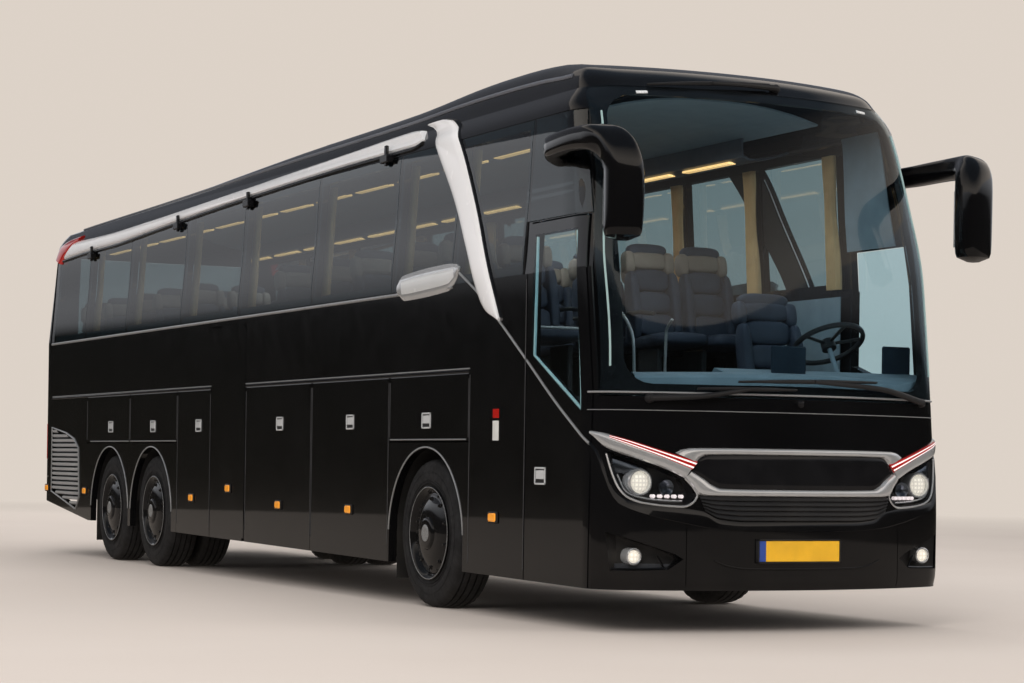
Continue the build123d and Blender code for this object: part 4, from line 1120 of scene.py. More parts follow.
LENS = [(0.992, 0.001), (0.8, 0.003), (0.6, 0.004), (0.4, 0.004), (0.2, 0.004), (0.01, 0.004),
        (0.01, 0.0), (0.2, 0.0), (0.4, 0.0), (0.6, 0.0), (0.8, -0.001), (0.992, -0.003)]
BOWL = [(1.0, -0.003), (0.95, -0.03), (0.84, -0.11), (0.4, -0.125), (0.01, -0.125), (0.01, -0.135),
        (0.4, -0.135), (0.90, -0.125), (1.0, -0.045)]
pair(lambda s: s.tube(bowl(HEADLAMP, BOWL), closed=True), "headlamp_bowls", lamp_bezel, slot="lamp")
lamp_cover = pair(lambda s: s.tube(bowl(HEADLAMP, LENS), closed=True), "headlamp_covers",
                  lens_clear, slot="lamp")
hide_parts("lamps")
PROJECTOR = on_front(1.041, 0.916, -0.045)
pair(lambda s: s.ring([(-0.05, 0.066), (0.018, 0.066), (0.026, 0.070), (0.026, 0.078),
                       (0.015, 0.084), (-0.05, 0.086)], PROJECTOR, AHEAD), "projector_rings",
     chrome, slot="lamp")
pair(lambda s: s.lathe([(-0.045, 0.064), (0.0, 0.064), (0.012, 0.055), (0.021, 0.038),
                        (0.026, 0.015), (0.026, 0)], PROJECTOR, AHEAD), "projector_lenses",
     lamp_glow, slot="lamp")
pair(lambda s: s.lathe([(-0.05, 0.030), (0.0, 0.046), (0.008, 0.050), (0.010, 0.048),
                        (0.002, 0.030), (-0.03, 0.008), (-0.03, 0)], on_front(0.880, 0.885, -0.05),
                       AHEAD), "high_beam_cups", lamp_grey)
pair(lambda s: strip(s, [(1.190, 1.070), (1.080, 1.030), (1.000, 1.000)],
                     [(1.180, 0.960), (1.140, 0.960), (1.100, 0.985)], lifted(on_front, -0.05),
                     0.02, 20, 8, 0.01), "headlamp_reflectors", lamp_grey)


def day_lamp_dots(shape):
    """Five small lamps in a row under the main ones."""
    for k in range(5):
        x = 0.790 + 0.042 * k
        shape.lathe([(-0.03, 0.012), (0.0, 0.012), (0.005, 0.008), (0.007, 0)],
                    on_front(x, 0.832, -0.022), AHEAD, 16)


pair(day_lamp_dots, "day_lamps", strip_glow)
OUTER_RIM = [(1.208, 1.085), (1.188, 0.981), (1.157, 0.883), (1.109, 0.824), (1.026, 0.792),
             (0.891, 0.775), (0.788, 0.771), (0.735, 0.792), (0.703, 0.841), (0.728, 0.890),
             (0.776, 0.944)]
INNER_RIM = [(1.165, 0.960), (1.120, 0.860), (1.030, 0.822), (0.890, 0.806), (0.790, 0.803)]
pair(lambda s: s.pipe(line_on_front(OUTER_RIM, 70, -0.001), 0.0065, 8), "headlamp_rims", chrome)
pair(lambda s: s.pipe(line_on_front(INNER_RIM, 40, -0.028), 0.006, 8), "headlamp_inner_rims",
     chrome)
FOG_BOWL = [(1.0, 0.006), (0.98, -0.02), (0.86, -0.09), (0.4, -0.10), (0.01, -0.10), (0.01, -0.11),
            (0.4, -0.11), (0.92, -0.10), (1.0, -0.05)]
pair(lambda s: s.tube(bowl(FOG_RECESS, FOG_BOWL), closed=True), "fog_recesses", satin_black)
FOG_PLACE = on_front(1.074, 0.465, -0.035)
pair(lambda s: s.ring([(-0.06, 0.040), (0.016, 0.040), (0.020, 0.045), (0.016, 0.052),
                       (-0.06, 0.054)], FOG_PLACE, AHEAD), "fog_lamp_rings", chrome)
pair(lambda s: s.lathe([(-0.05, 0.039), (0.004, 0.039), (0.012, 0.028), (0.015, 0.012), (0.015, 0)],
                       FOG_PLACE, AHEAD), "fog_lamp_lenses", lamp_glow)
FOG_VANE = [(1.190, 0.388), (1.000, 0.391), (0.890, 0.396), (0.905, 0.410), (0.940, 0.470)]
pair(lambda s: s.pipe([on_front(x, z, -0.004) for x, z in FOG_VANE], 0.007, 8), "fog_vanes",
     coach_black)
pair(lambda s: strip(s, [(0.785, 3.366), (0.855, 3.362)], [(0.785, 3.346), (0.855, 3.342)],
                     on_front, 0.008, 10), "top_markers", lens_white)


# ---- wipers ----
def wiper(shape, pivot, elbow, first, last, lift=0.03):
    """Spindle cap, tapered arm and sprung blade with its rubber edge."""
    base = on_front(*pivot, 0.0)
    tip = on_front((first[0] + last[0]) / 2, (first[1] + last[1]) / 2, lift + 0.014)
    shape.lathe([(-0.01, 0.030), (0.020, 0.028), (0.032, 0.020), (0.036, 0)], base, (0, -1, 0.1),
                20)
    line = [base + Vector((0, -0.022, 0.003)), on_front(*elbow, lift + 0.022), tip]
    shape.pipe([tuple(p) for p in rounded(line, 20)], [0.021 - 0.008 * k / 19 for k in range(20)],
               10)
    blade = [(first[0] + (last[0] - first[0]) * k / 16, first[1] + (last[1] - first[1]) * k / 16)
             for k in range(17)]
    shape.pipe([on_front(x, z, lift + 0.006 * math.sin(math.pi * k / 16))
                for k, (x, z) in enumerate(blade)],
               [0.006 + 0.008 * math.sin(math.pi * k / 16) for k in range(17)], 8)
    shape.pipe([on_front(x, z - 0.004, lift - 0.012) for x, z in blade], 0.0045, 6)
    for k in (3, 6, 10, 13):
        x, z = blade[k]
        shape.pipe([on_front(x, z, lift + 0.004), on_front(x, z - 0.004, lift - 0.014)], 0.006, 6)


wipers = Shape()
wiper(wipers, (-0.970, 1.425), (-0.700, 1.440), (-0.689, 1.490), (-0.035, 1.496))
wiper(wipers, (1.051, 1.445), (0.600, 1.520), (-0.428, 1.538), (0.600, 1.562))
wiper(wipers, (0.125, 3.440), (-0.150, 3.440), (-0.776, 3.405), (0.075, 3.465))
wipers = wipers.piece("wiper_set", satin_black, slot="black_trim")
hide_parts("wipers")


# ---- roof ----
END_COLUMNS, SIDE_COLUMNS = 22, 60


def ring_row(step):
    """Points round the whole body at one level, from the middle of the front and back to it."""
    ends = []
    for away in (-1, 1):
        z, _, radius, corner_y, bow, _, turn = end_arcs(step, away)
        span = bow * turn + radius * (math.pi / 2 - turn)
        ends.append((corner_y, [end_point(span * (k / END_COLUMNS), step, away)
                                for k in range(END_COLUMNS + 1)]))
    (front_y, front_points), (rear_y, rear_points) = ends
    half = outline(step)[1]
    flank = [Vector((half, at(front_y + (rear_y - front_y) * k / SIDE_COLUMNS), z))
             for k in range(1, SIDE_COLUMNS)]
    row = front_points + flank + rear_points[::-1]
    return row + mirror_points(row[-2:0:-1])


TOP_STEP, BROW_STEP = STEPS[-1], STEPS[6]
SHOULDER_Z = smooth([-1.65, -1.30, -0.80, -0.45, 0.95, 3.20, 6.65, 9.65, 10.10],
                    [3.612, 3.648, 3.664, 3.664, 3.613, 3.585, 3.503, 3.448, 3.41])
CROWN = smooth([-1.5, 1.0, 8.0, 10.0], [0.010, 0.075, 0.085, 0.02])
SIDE_RISE = smooth([0, 0.030, 0.075, 0.130, 0.209], [0, 0.36, 0.66, 0.86, 1.0])
FRONT_RISE = smooth([0, 0.090, 0.220, 0.410, 0.660, 1.010, 1.500, 2.400],
                    [3.395, 3.470, 3.530, 3.580, 3.622, 3.655, 3.690, 3.800])
REAR_RISE = smooth([0, 0.100, 0.440, 1.200, 3.500], [3.395, 3.425, 3.458, 3.520, 3.700])
BROW_HALF = outline(BROW_STEP)[1]


def roof_height(x, d):
    """Height of the roof over a place in plan."""
    x = min(abs(x), BROW_HALF)
    top = SHOULDER_Z(d) + CROWN(d) * (1 - min(1, x / 0.9) ** 2)
    side = 3.395 + (top - 3.395) * SIDE_RISE(BROW_HALF - x)
    front = FRONT_RISE(max(0, d - (end_point(width_at_x(x, BROW_STEP), BROW_STEP).y - AXLE_Y)))
    rear = REAR_RISE(max(0, (end_point(width_at_x(x, BROW_STEP, 1), BROW_STEP, 1).y - AXLE_Y) - d))
    return min(side, front, rear)


def roof_top(shape):
    """The domed skin from the brow to the middle, and its inside face."""
    rows = [ring_row(BROW_STEP + (TOP_STEP - BROW_STEP) * (k / 26) ** 1.7) for k in range(27)]
    rows += [[Vector((p.x * share, p.y, p.z)) for p in rows[26]] for share in (0.6, 0.3, 0.02)]
    rows = rows[:1] + [[Vector((p.x, p.y, roof_height(p.x, p.y - AXLE_Y))) for p in row]
                       for row in rows[1:]]
    under = [[Vector((p.x * 0.955, p.y * 0.992, p.z - 0.055)) for p in row] for row in rows]
    count = len(rows[0])

    def belt(a, b):
        return [(a + i, a + (i + 1) % count, b + (i + 1) % count, b + i) for i in range(count)]

    points, faces = [p for row in rows + under[::-1] for p in row], []
    for r in range(len(rows) * 2 - 1):
        if r != len(rows) - 1:
            faces += belt(r * count, (r + 1) * count)
    faces += belt(0, (len(rows) * 2 - 1) * count)
    top = (len(rows) - 1) * count
    faces += [tuple(top + i for i in range(count)), tuple(top + count + i for i in range(count))]
    return shape.add(points, faces)


def roof_band(shape):
    """The body's skin between the panes and the brow, along both sides and the back."""
    rows = []
    for k in range(9):
        z = CANTRAIL_Z + 0.001 + (SCREEN_TOP - CANTRAIL_Z - 0.001) * k / 8
        step = step_of(z)
        front_y, front_corner = SCREEN_EDGE + LEAN(z) + 0.003, end_arcs(step, -1)[3]
        rear_corner, half = end_arcs(step, 1)[3], outline(step)[1]
        start, square = width_at_place(front_y, step), width_at_place(front_corner, step)
        round_corner = start < square
        row = [end_point(start + (square - start) * c / 6, step) if round_corner
               else Vector((half, at(front_y + (0.05 * c / 6)), z)) for c in range(7)]
        flank = front_corner + 0.05 if round_corner else front_y + 0.1
        row += [Vector((half, at(flank + (rear_corner - front_y - 0.1) * c / 60), z))
                for c in range(1, 60)]
        row += [end_point(width_at_place(rear_corner, step, 1) * (1 - c / 22), step, 1)
                for c in range(23)]
        rows.append(row)
    for side in (1, -1):
        shape.skin([[Vector((side * p.x, p.y, p.z)) for p in row] for row in rows],
                   backs=[[Vector((side * (p.x - 0.03), p.y, p.z)) for p in row] for row in rows])
    return shape


roof = roof_band(roof_top(Shape())).piece("roof_skin", coach_black, slot="body_paint")
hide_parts("roof")


def air_unit(shape):
    """Roof unit: a low arch with rounded ends."""
    rings = []
    for k in range(41):
        u = k / 40
        end = min(u, 1 - u) * 2.2
        rise = math.sqrt(max(0.0, 1 - max(0, 1 - end / 0.35) ** 2)) if end < 0.35 else 1.0
        ring = []
        for j in range(25):
            x = 0.42 * math.cos(math.pi * j / 24)
            top = 3.872 - 0.636 + math.sqrt(0.636 ** 2 - x * x)
            low = roof_height(x, 2.9 + 2.2 * u) - 0.02
            ring.append(Vector((x, at(2.900 + 2.200 * u), low + max(0, top - low) * rise)))
        ring += [Vector((-0.42 + 0.84 * j / 8, at(2.900 + 2.200 * u), 3.60)) for j in range(1, 8)]
        rings.append(ring)
    return shape.tube(rings)


air_unit(Shape()).piece("air_unit", coach_black, slot="body_paint")
vents = Shape()
for row in range(2):
    for k in range(14):
        d = 3.25 + row * 0.95 + k * 0.052
        vents.box((-0.12, at(d), 3.858), (0.12, at(d + 0.02), 3.878), 0.003)
vents.piece("air_unit_louvres", satin_black)
hatches = Shape()
for d in (0.6, 7.2):
    hatches.box((-0.25, at(d), 3.60), (0.25, at(d + 0.60), roof_height(0, d) + 0.035), 0.03)
hatches.piece("roof_hatches", satin_black)
# Rails along both roof edges, in blue-grey lighter than the black roof: they paint the light line
# along the roof's edge, a painted highlight.
rails = Shape()
for s in (1, -1):
    rails.pipe([(s * (BROW_HALF - 0.045), at(d), roof_height(BROW_HALF - 0.045, d))
               for d in [-1.75 + 11.2 * k / 90 for k in range(91)]], 0.016, 8)
rails.piece("roof_rails", roof_grey)


# ---- side panes ----
for side, s in SIDES.items():
    place = on_side(s)
    shape = Shape()
    for first, last in zip(PANES, PANES[1:]):
        corners = field(first + 0.003, last - 0.003, PANE_LOW, PANE_HIGH)
        shape.skin(quad_rows(corners, place, 20, 6), 0.008 * s)
    shape.skin(quad_rows([(SCREEN_EDGE + LEAN(2.574) + 0.004, 2.574), (-1.503, 2.574),
                          (-1.503, PANE_HIGH), (SCREEN_EDGE + LEAN(PANE_HIGH) + 0.004, PANE_HIGH)],
                         place, 14, 6), 0.008 * s)
    piece = shape.piece(f"side_panes_{side}", side_glass, slot="side_glass")
    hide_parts("windows")
    seals = Shape()
    for joint in PANES:
        corners = field(joint - 0.006, joint + 0.006, PANE_LOW, PANE_HIGH)
        seals.skin(quad_rows(corners, lifted(place, -0.004), 20, 2), 0.01 * s)
    seals.piece(f"pane_seals_{side}", seal_rubber)
Shape().skin(quad_rows([(-2.328, 1.482), (-1.582, 1.722), (-1.582, 2.498), (-2.216, 2.498)],
                       on_side(1)), 0.008).piece("driver_pane", screen_glass, slot="side_glass")
rear_rows = [[on_rear(-0.928 + 1.856 * c / 24, 2.292 + 0.876 * r / 14) for c in range(25)]
             for r in range(15)]
Shape().skin(rear_rows, -0.008).piece("rear_pane", side_glass, slot="side_glass")


# ---- trims along the sides ----
def side_box(shape, s, d, z, long, tall, low, high, bevel=0.004):
    """Block on a side: low and high are how far it reaches out of the skin."""
    half = outline(step_of(z))[1]
    xs = sorted((s * (half + low), s * (half + high)))
    return shape.box((xs[0], at(d - long / 2), z - tall / 2),
                     (xs[1], at(d + long / 2), z + tall / 2), bevel)


def shoulder(side):
    """Placer for the band over the panes, standing off the roof's edge."""
    def place(d, z, out=0.0):
        half = outline(step_of(z))[1]
        return Vector((side * (max(half, 1.150) + out), at(d), z))
    return place


BAND_TOP = [(0.440, 3.402), (0.60, 3.410), (1.66, 3.392), (2.72, 3.372), (4.16, 3.345),
            (5.20, 3.318), (6.70, 3.285), (8.05, 3.266), (8.95, 3.275), (9.30, 3.285)]
BAND_LOW = [(0.330, 3.318), (0.46, 3.290), (1.63, 3.288), (2.69, 3.272), (4.13, 3.247),
            (5.19, 3.222), (6.67, 3.176), (8.05, 3.140), (8.80, 3.140), (9.70, 3.120)]
BLADE_FRONT = [(-0.010, 3.430), (-0.110, 3.412), (-0.194, 3.366), (-0.416, 3.161), (-0.670, 2.794),
               (-0.919, 2.404), (-1.176, 1.972)]
BLADE_REAR = [(0.330, 3.428), (0.200, 3.385), (0.074, 3.258), (-0.260, 2.902), (-0.602, 2.461),
              (-0.932, 2.037), (-1.168, 1.950)]
for side, s in SIDES.items():
    band = strip(Shape(), BAND_TOP, BAND_LOW, shoulder(s), 0.022, 120, 8, 0.05)
    strip(band, BLADE_FRONT, BLADE_REAR, shoulder(s), 0.020, 60, 8, 0.03)
    band.piece(f"white_band_{side}", pearl_white)
    backing = strip(Shape(), BLADE_FRONT, BLADE_REAR, lifted(shoulder(s), -0.024), 0.020, 60, 8,
                    0.02)
    backing.piece(f"blade_backing_{side}", matt_black)
    # Gloss black strips just under the white band and along the blade's front edge are painted
    # shadow of the band and blade; the small blocks are the band's brackets.
    shadow = strip(Shape(), [(x, z - 0.004) for x, z in BAND_LOW],
                   [(x, z - 0.035) for x, z in BAND_LOW], on_side(s), 0.018, 120, 6, 0.01)
    strip(shadow, [(x - 0.030, z) for x, z in BLADE_FRONT],
          [(x - 0.001, z) for x, z in BLADE_FRONT], shoulder(s), 0.012, 60, 4, 0.02)
    for d, z in ((8.564, 3.075), (5.760, 3.150), (3.870, 3.185), (0.892, 3.240)):
        half = outline(step_of(z))[1]
        side_box(shadow, s, d, z, 0.14, 0.06, -0.01, 0.05, 0.008)
        shadow.box((min(s * (half + 0.01), s * (half + 0.035)), at(d - 0.02), z - 0.05),
                   (max(s * (half + 0.01), s * (half + 0.035)), at(d + 0.02), z + 0.10), 0.005)
    shadow.piece(f"black_rail_{side}", gloss_black)
    high_lamp = strip(Shape(), [(9.10, 3.335), (9.50, 3.328), (9.82, 3.270), (9.97, 3.14)],
                      [(9.30, 3.275), (9.46, 3.215), (9.66, 3.13), (9.76, 3.07)],
                      lifted(shoulder(s), 0.006), 0.024, 30, 8, 0.06)
    high_lamp.piece(f"high_lamp_{side}", lens_red)
    level_strip(Shape(), (-0.42, 9.90), 2.231, 2.206, on_side(s), 0.010, 60).piece(
        f"belt_bar_{side}", satin_silver)
    waist = Shape()
    for run in FLAP_RUNS[side]:
        level_strip(waist, run, 1.658, 1.648, on_side(s), 0.004, 30, 4)
    waist.piece(f"waist_line_{side}", satin_silver)
    badge_low = [(0.520, 2.215), (0.40, 2.168), (-0.34, 2.195), (-0.47, 2.262), (-0.52, 2.330)]
    badge_top = [(0.530, 2.290), (0.46, 2.350), (-0.30, 2.385), (-0.46, 2.375), (-0.525, 2.350)]
    plate_rim = strip(Shape(), badge_top, badge_low, on_side(s), 0.014, 50, 10)
    plate_rim.piece(f"side_plate_rim_{side}", chrome)
    plate = strip(Shape(), between(badge_top, badge_low, 0.20, 12)[1:-1],
                  between(badge_top, badge_low, 0.80, 12)[1:-1],
                  lifted(on_side(s), 0.010), 0.007, 40, 6)
    plate.piece(f"side_plate_{side}", badge_silver)
    sweep = strip(Shape(), [(-0.52, 2.318), (-0.80, 2.180), (-1.170, 1.955), (-1.562, 1.700)],
                  [(-0.52, 2.298), (-0.80, 2.160), (-1.170, 1.935), (-1.562, 1.680)], on_side(s),
                  0.008, 40)
    if s > 0:
        strip(sweep, [(-1.562, 1.700), (-2.00, 1.410), (-2.455, 1.140)],
              [(-1.562, 1.680), (-2.00, 1.390), (-2.455, 1.120)], on_side(s), 0.008, 30)
    sweep.piece(f"sweep_line_{side}", satin_silver)
strip(Shape(), [(-1.580, 1.688), (-2.00, 1.410), (-2.430, 1.155)],
      [(-1.580, 1.668), (-2.00, 1.390), (-2.430, 1.135)], on_side(-1), 0.008, 30).piece(
    "door_sweep_line", satin_silver, "front_door")


def handle(name, s, d, z, body):
    """Flush pull: bright bezel, dark cup and bright paddle."""
    shape = Shape()
    for dd, dz, long, tall in ((0, 0.050, 0.150, 0.012), (0, -0.050, 0.150, 0.012),
                               (0.069, 0, 0.012, 0.112), (-0.069, 0, 0.012, 0.112)):
        side_box(shape, s, d + dd, z + dz, long, tall, -0.002, 0.006, 0.003)
    side_box(shape, s, d, z + 0.008, 0.110, 0.058, -0.002, 0.005, 0.004)
    shape.piece(f"{name}_handle", badge_silver, body)
    side_box(Shape(), s, d, z, 0.138, 0.100, -0.002, 0.002, 0.001).piece(
        f"{name}_handle_cup", satin_black, body)


def marker(name, s, d, z, body):
    """Amber side marker on its dark base."""
    side_box(Shape(), s, d, z, 0.150, 0.078, -0.004, 0.012, 0.008).piece(
        f"{name}_marker", satin_black, body)
    side_box(Shape(), s, d, z, 0.110, 0.060, 0.0, 0.020, 0.010).piece(
        f"{name}_marker_lens", lens_amber, body)


LID_PLACES = {"front_wheel_lid": (-0.008, 1.308), "drive_wheel_lid": (6.294, 1.313),
              "tag_wheel_lid": (7.671, 1.318)}
LID_SPANS = {"front_wheel_lid": (-0.715, 0.655), "drive_wheel_lid": (5.570, 7.030),
             "tag_wheel_lid": (7.030, 8.520)}
FLAP_SPANS = {"left": [(0.655, 2.205), (2.205, 3.735), (3.735, 5.570)],
              "right": [(0.655, 2.205), (2.205, 3.735), (4.635, 5.570)]}
SEAM_TOP = 1.585
ARCH_RADIUS, ARCH_Z = 0.640, 0.482
LID_LINES = {"front_wheel_lid": (-0.668, 0.632), "drive_wheel_lid": (5.594, 7.004),
             "tag_wheel_lid": (7.056, 8.380)}
for side, s in SIDES.items():
    for lid_name, (d, z) in LID_PLACES.items():
        handle(f"{lid_name}_{side}", s, d, z, f"{lid_name}_{side}")
        line = level_strip(Shape(), LID_LINES[lid_name], 1.180, 1.170, on_side(s), 0.004, 12, 4)
        line.piece(f"{lid_name}_{side}_line", satin_silver, f"{lid_name}_{side}")
    for number, (d, marker_d, marker_z) in enumerate(
            ((1.402, 1.402, 0.652), (2.910, 2.910, 0.652), (4.962, 5.123, 0.666)), 1):
        flap = f"luggage_flap_{side}_{number}"
        handle(flap, s, d, 1.310, flap)
        marker(flap, s, marker_d, marker_z, flap)
    for number, d in ((1, -1.116), (2, 8.555), (3, 10.010)):
        marker(f"panel_{side}_{number}", s, d, 0.65 + 0.01 * number, "coach_body")
marker("mid_door", -1, 4.138, 0.766, "mid_door")
handle("front_door", -1, -1.790, 0.941, "front_door")
# The red sticker takes the red lamp lens finish, so it glows faintly though it is no lamp: a
# painted glow.
for name, z, tall, finish in (("sticker_low", 1.232, 0.130, plate_white),
                              ("sticker_high", 1.345, 0.060, lens_red)):
    side_box(Shape(), -1, -1.131, z, 0.09, tall, -0.001, 0.002, 0.0005).piece(name, finish)


def seam(body, s, d, low, high):
    """Thin upright joint line on a side, from one height to another."""
    shape = strip(Shape(), [(d, low), (d, high)], [(d + 0.006, low), (d + 0.006, high)],
                  on_side(s), 0.0025, 12, 4, 0.001)
    shape.piece(f"{body}_seam_{round(abs(d) * 1000)}_{'l' if s > 0 else 'r'}", seam_grey, body)


for side, s in SIDES.items():
    for number, span in enumerate(FLAP_SPANS[side], 1):
        for d in (span[0] + 0.008, span[1] - 0.016):
            seam(f"luggage_flap_{side}_{number}", s, d, 0.42, SEAM_TOP)
    for lid_name, span in LID_SPANS.items():
        for d in (span[0] + 0.008, span[1] - 0.016):
            seam(f"{lid_name}_{side}", s, d, 1.19, SEAM_TOP)
    seam("coach_body", s, -1.560, 0.34, 2.20)
    seam("coach_body", s, -0.724, 0.34, 1.61)
    cover = Shape()
    for run in FLAP_RUNS[side]:
        level_strip(cover, run, 1.646, 1.626, on_side(s), 0.0045, 30, 4, crown=False)
    cover.piece(f"hinge_cover_{side}", gloss_black)
    lines = Shape()
    for d in (0.0, DRIVE, TAG):
        arch = [on_side(s)(d + ARCH_RADIUS * math.cos(a), ARCH_Z + ARCH_RADIUS * math.sin(a), 0.001)
                for a in (math.radians(k) for k in range(4, 177, 4))]
        lines.pipe(arch, 0.006, 8)
    lines.piece(f"arch_lines_{side}", satin_silver)
# Pale teal bars round the door glass and along the windscreen's side edges: painted highlights of
# the glass edges.
edges = Shape()
for line in ([(-1.665, 2.466), (-1.665, 1.710), (-2.000, 1.530), (-2.318, 1.360)],
             [(-2.318, 1.360), (-2.318, 1.440), (-2.206, 2.466)]):
    edges.pipe([on_side(-1)(d, z, -0.012) for d, z in line], 0.010, 8)
edges.piece("door_glass_edge", glass_edge, "front_door")
edges = Shape()
for s in (1, -1):
    edges.pipe([end_point(s * edge_width(step_of(z), z, 0.055), step_of(z), -1, 0.001)
                for z in [1.62 + 1.60 * k / 30 for k in range(31)]], 0.007, 8)
edges.piece("screen_glass_edges", glass_edge)


# ---- side grilles: louvres in a frame ----
GRILLE_FRONT = line_of([0.475, 0.600, 1.112, 1.203, 1.266, 1.326],
                       [8.900, 8.772, 8.825, 8.985, 9.300, 9.845])
GRILLE_FOOT = line_of([0.475, 0.645, 0.700], [8.900, 9.845, 10.5])
for side, s in SIDES.items():
    shape = Shape()
    for k in range(17):
        z = 0.52 + k * 0.050
        first = max(GRILLE_FRONT(z), GRILLE_FRONT(z + 0.034)) + 0.012
        last = min(9.835, GRILLE_FOOT(z) - 0.012)
        if last - first < 0.08:
            continue
        shape.skin([[on_side(s)(first + (last - first) * c / 8, z + dz, out) for c in range(9)]
                    for dz, out in ((0.0, -0.012), (0.012, 0.002), (0.026, 0.004),
                                    (0.034, -0.014))], 0.004 * s)
    piece = shape.piece(f"side_grille_{side}", grille_silver, slot="grille")
    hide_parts("side_grilles")
    back = Shape().skin(quad_rows([(8.78, 0.56), (9.85, 0.60), (9.85, 1.33), (8.85, 1.20)],
                                  lifted(on_side(s), -0.045)), 0.01 * s)
    back.piece(f"side_grille_back_{side}", matt_black)
    edge = [(8.772, 0.600), (8.90, 0.475), (9.845, 0.645), (9.845, 1.326), (9.30, 1.266),
            (8.985, 1.203), (8.825, 1.112)]
    shape = Shape().pipe([on_side(s)(d, z, 0.002) for d, z in edge + edge[:1]], 0.009, 8)
    shape.piece(f"side_grille_edge_{side}", satin_silver)
    lamp = Shape()
    rows = []
    for r in range(16):
        z = 0.992 + 0.376 * r / 15
        step = step_of(z)
        low, high = width_at_x(1.085, step, 1), width_at_place(10.055, step, 1)
        rows.append([end_point(s * (low + (high - low) * c / 14), step, 1, 0.004)
                     for c in range(15)])
    lamp.skin(rows, -0.03 * s).piece(f"tail_lamp_{side}", lens_red, slot="lamp")


# ---- wheels and tyres ----
def wheel_piece(name, s, d, twin):
    """Steel wheel with a dished disc, ten nuts and a bulging hub; its round openings are matt black
    discs of painted shade, and a thin silver ring on the rim's edge is a painted highlight.
    """
    origin, axis = (0, at(d), WHEEL_Z), (s, 0, 0)
    shape = Shape()
    shape.ring([(0.972, 0.270), (0.972, 0.298), (0.990, 0.293), (1.185, 0.290), (1.212, 0.296),
                (1.228, 0.306), (1.237, 0.317), (1.240, 0.323), (1.235, 0.327), (1.243, 0.329),
                (1.246, 0.322), (1.240, 0.311), (1.226, 0.298), (1.208, 0.288), (1.190, 0.272)],
               origin, axis, 72)
    shape.ring([(1.140, 0.284), (1.196, 0.286), (1.207, 0.282), (1.210, 0.272), (1.211, 0.262),
                (1.216, 0.250), (1.230, 0.218), (1.241, 0.184), (1.248, 0.150), (1.251, 0.118),
                (1.150, 0.112)], origin, axis, 72)
    shape.lathe([(1.05, 0.112), (1.250, 0.116), (1.260, 0.110), (1.266, 0.100), (1.268, 0.084),
                 (1.269, 0.060), (1.269, 0)], origin, axis, 56)
    shape.lathe([(1.025, 0.056), (1.025, 0.116), (1.10, 0.116), (1.10, 0.056)], origin, axis, 40)
    if twin:
        shape.ring([(0.637, 0.270), (0.637, 0.298), (0.860, 0.298), (0.880, 0.292), (0.878, 0.270)],
                   origin, axis, 64)
        shape.ring([(0.855, 0.272), (0.877, 0.240), (0.877, 0.116), (0.855, 0.116)], origin, axis,
                   64)
    wheel = shape.piece(name, wheel_black, name, slot="wheel_paint")
    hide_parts(name)
    nuts, painted_shade_holes = Shape(), Shape()
    for k in range(10):
        a = 2 * math.pi * (k + 0.5) / 10
        centre = Vector((0, at(d) + 0.240 * math.cos(a), WHEEL_Z + 0.240 * math.sin(a)))
        nuts.lathe([(1.205, 0.017), (1.222, 0.016), (1.226, 0.012), (1.226, 0)], centre, axis, 20)
        nuts.lathe([(1.220, 0.0115), (1.231, 0.0115), (1.236, 0.008), (1.236, 0)], centre, axis, 6)
        # Matt black discs where the wheel has openings: painted shade in place of the openings.
        b = 2 * math.pi * k / 10
        hole = Vector((0, at(d) + 0.268 * math.cos(b), WHEEL_Z + 0.268 * math.sin(b)))
        painted_shade_holes.lathe([(1.170, 0.012), (1.2115, 0.012), (1.213, 0.009), (1.212, 0)], hole, axis, 20)
    cap = Shape().lathe([(1.262, 0.060), (1.270, 0.059), (1.273, 0.052), (1.271, 0.044),
                         (1.272, 0.030), (1.274, 0)], origin, axis, 48)
    # The thin silver ring on the rim's edge is a painted highlight on the gloss black rim.
    cap.ring([(1.240, 0.3185), (1.2475, 0.3205), (1.2475, 0.3235), (1.240, 0.3255)], origin, axis,
             96)
    cap.piece(f"{name}_cap", satin_silver, name)
    nuts.piece(f"{name}_nuts", wheel_black, name)
    painted_shade_holes.piece(f"{name}_holes", matt_black, name)


TREAD = [(0.024, 0.292), (0.010, 0.330), (0.001, 0.385), (0.0, 0.402), (0.003, 0.440),
         (0.008, 0.470), (0.014, 0.492), (0.026, 0.508), (0.042, 0.514)]
GROOVES = [0.072, 0.122, 0.174, 0.224]
TYRE_WIDTH = 0.296


def tyre_piece(name, s, d, outers, body):
    """Tyre with ribbed sidewalls, four grooves and cuts across its shoulders."""
    shape, turns = Shape(), 120
    middle = []
    for groove in GROOVES:
        middle += [(groove - 0.007, 0.519), (groove - 0.004, 0.505),
                   (groove + 0.004, 0.505), (groove + 0.007, 0.519)]
    profile = TREAD + middle + [(TYRE_WIDTH - place, r) for place, r in TREAD[::-1]]
    for outer in outers:
        rings = []
        for i in range(turns):
            a = 2 * math.pi * i / turns
            cut_here = i % 3 == 0
            ring = []
            for place, r in profile:
                shoulder_point = r > 0.500 and (place < 0.05 or place > 0.246)
                r = r - 0.008 if cut_here and shoulder_point else r
                ring.append(Vector((s * (outer - place), at(d) + r * math.cos(a),
                                    WHEEL_Z + r * math.sin(a))))
            rings.append(ring)
        shape.tube(rings, closed=True)
        for r, lift in ((0.352, 0.006), (0.372, 0.004), (0.428, 0.003)):
            shape.ring([(outer - 0.012, r - 0.004), (outer - 0.001 + lift * 0.4, r - 0.002),
                        (outer - 0.001 + lift * 0.4, r + 0.002), (outer - 0.012, r + 0.004)],
                       (0, at(d), WHEEL_Z), (s, 0, 0), 96)
    tyre = shape.piece(name, tyre_rubber, body, slot="tyre")
    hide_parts(name)


for side, s in SIDES.items():
    for axle, d, outers in (("front", 0.0, [1.240]), ("drive", DRIVE, [1.240, 0.905]),
                            ("tag", TAG, [1.240])):
        wheel_piece(f"{axle}_wheel_{side}", s, d, len(outers) == 2)
        tyre_piece(f"{axle}_tyre_{side}", s, d, outers, f"{axle}_wheel_{side}")


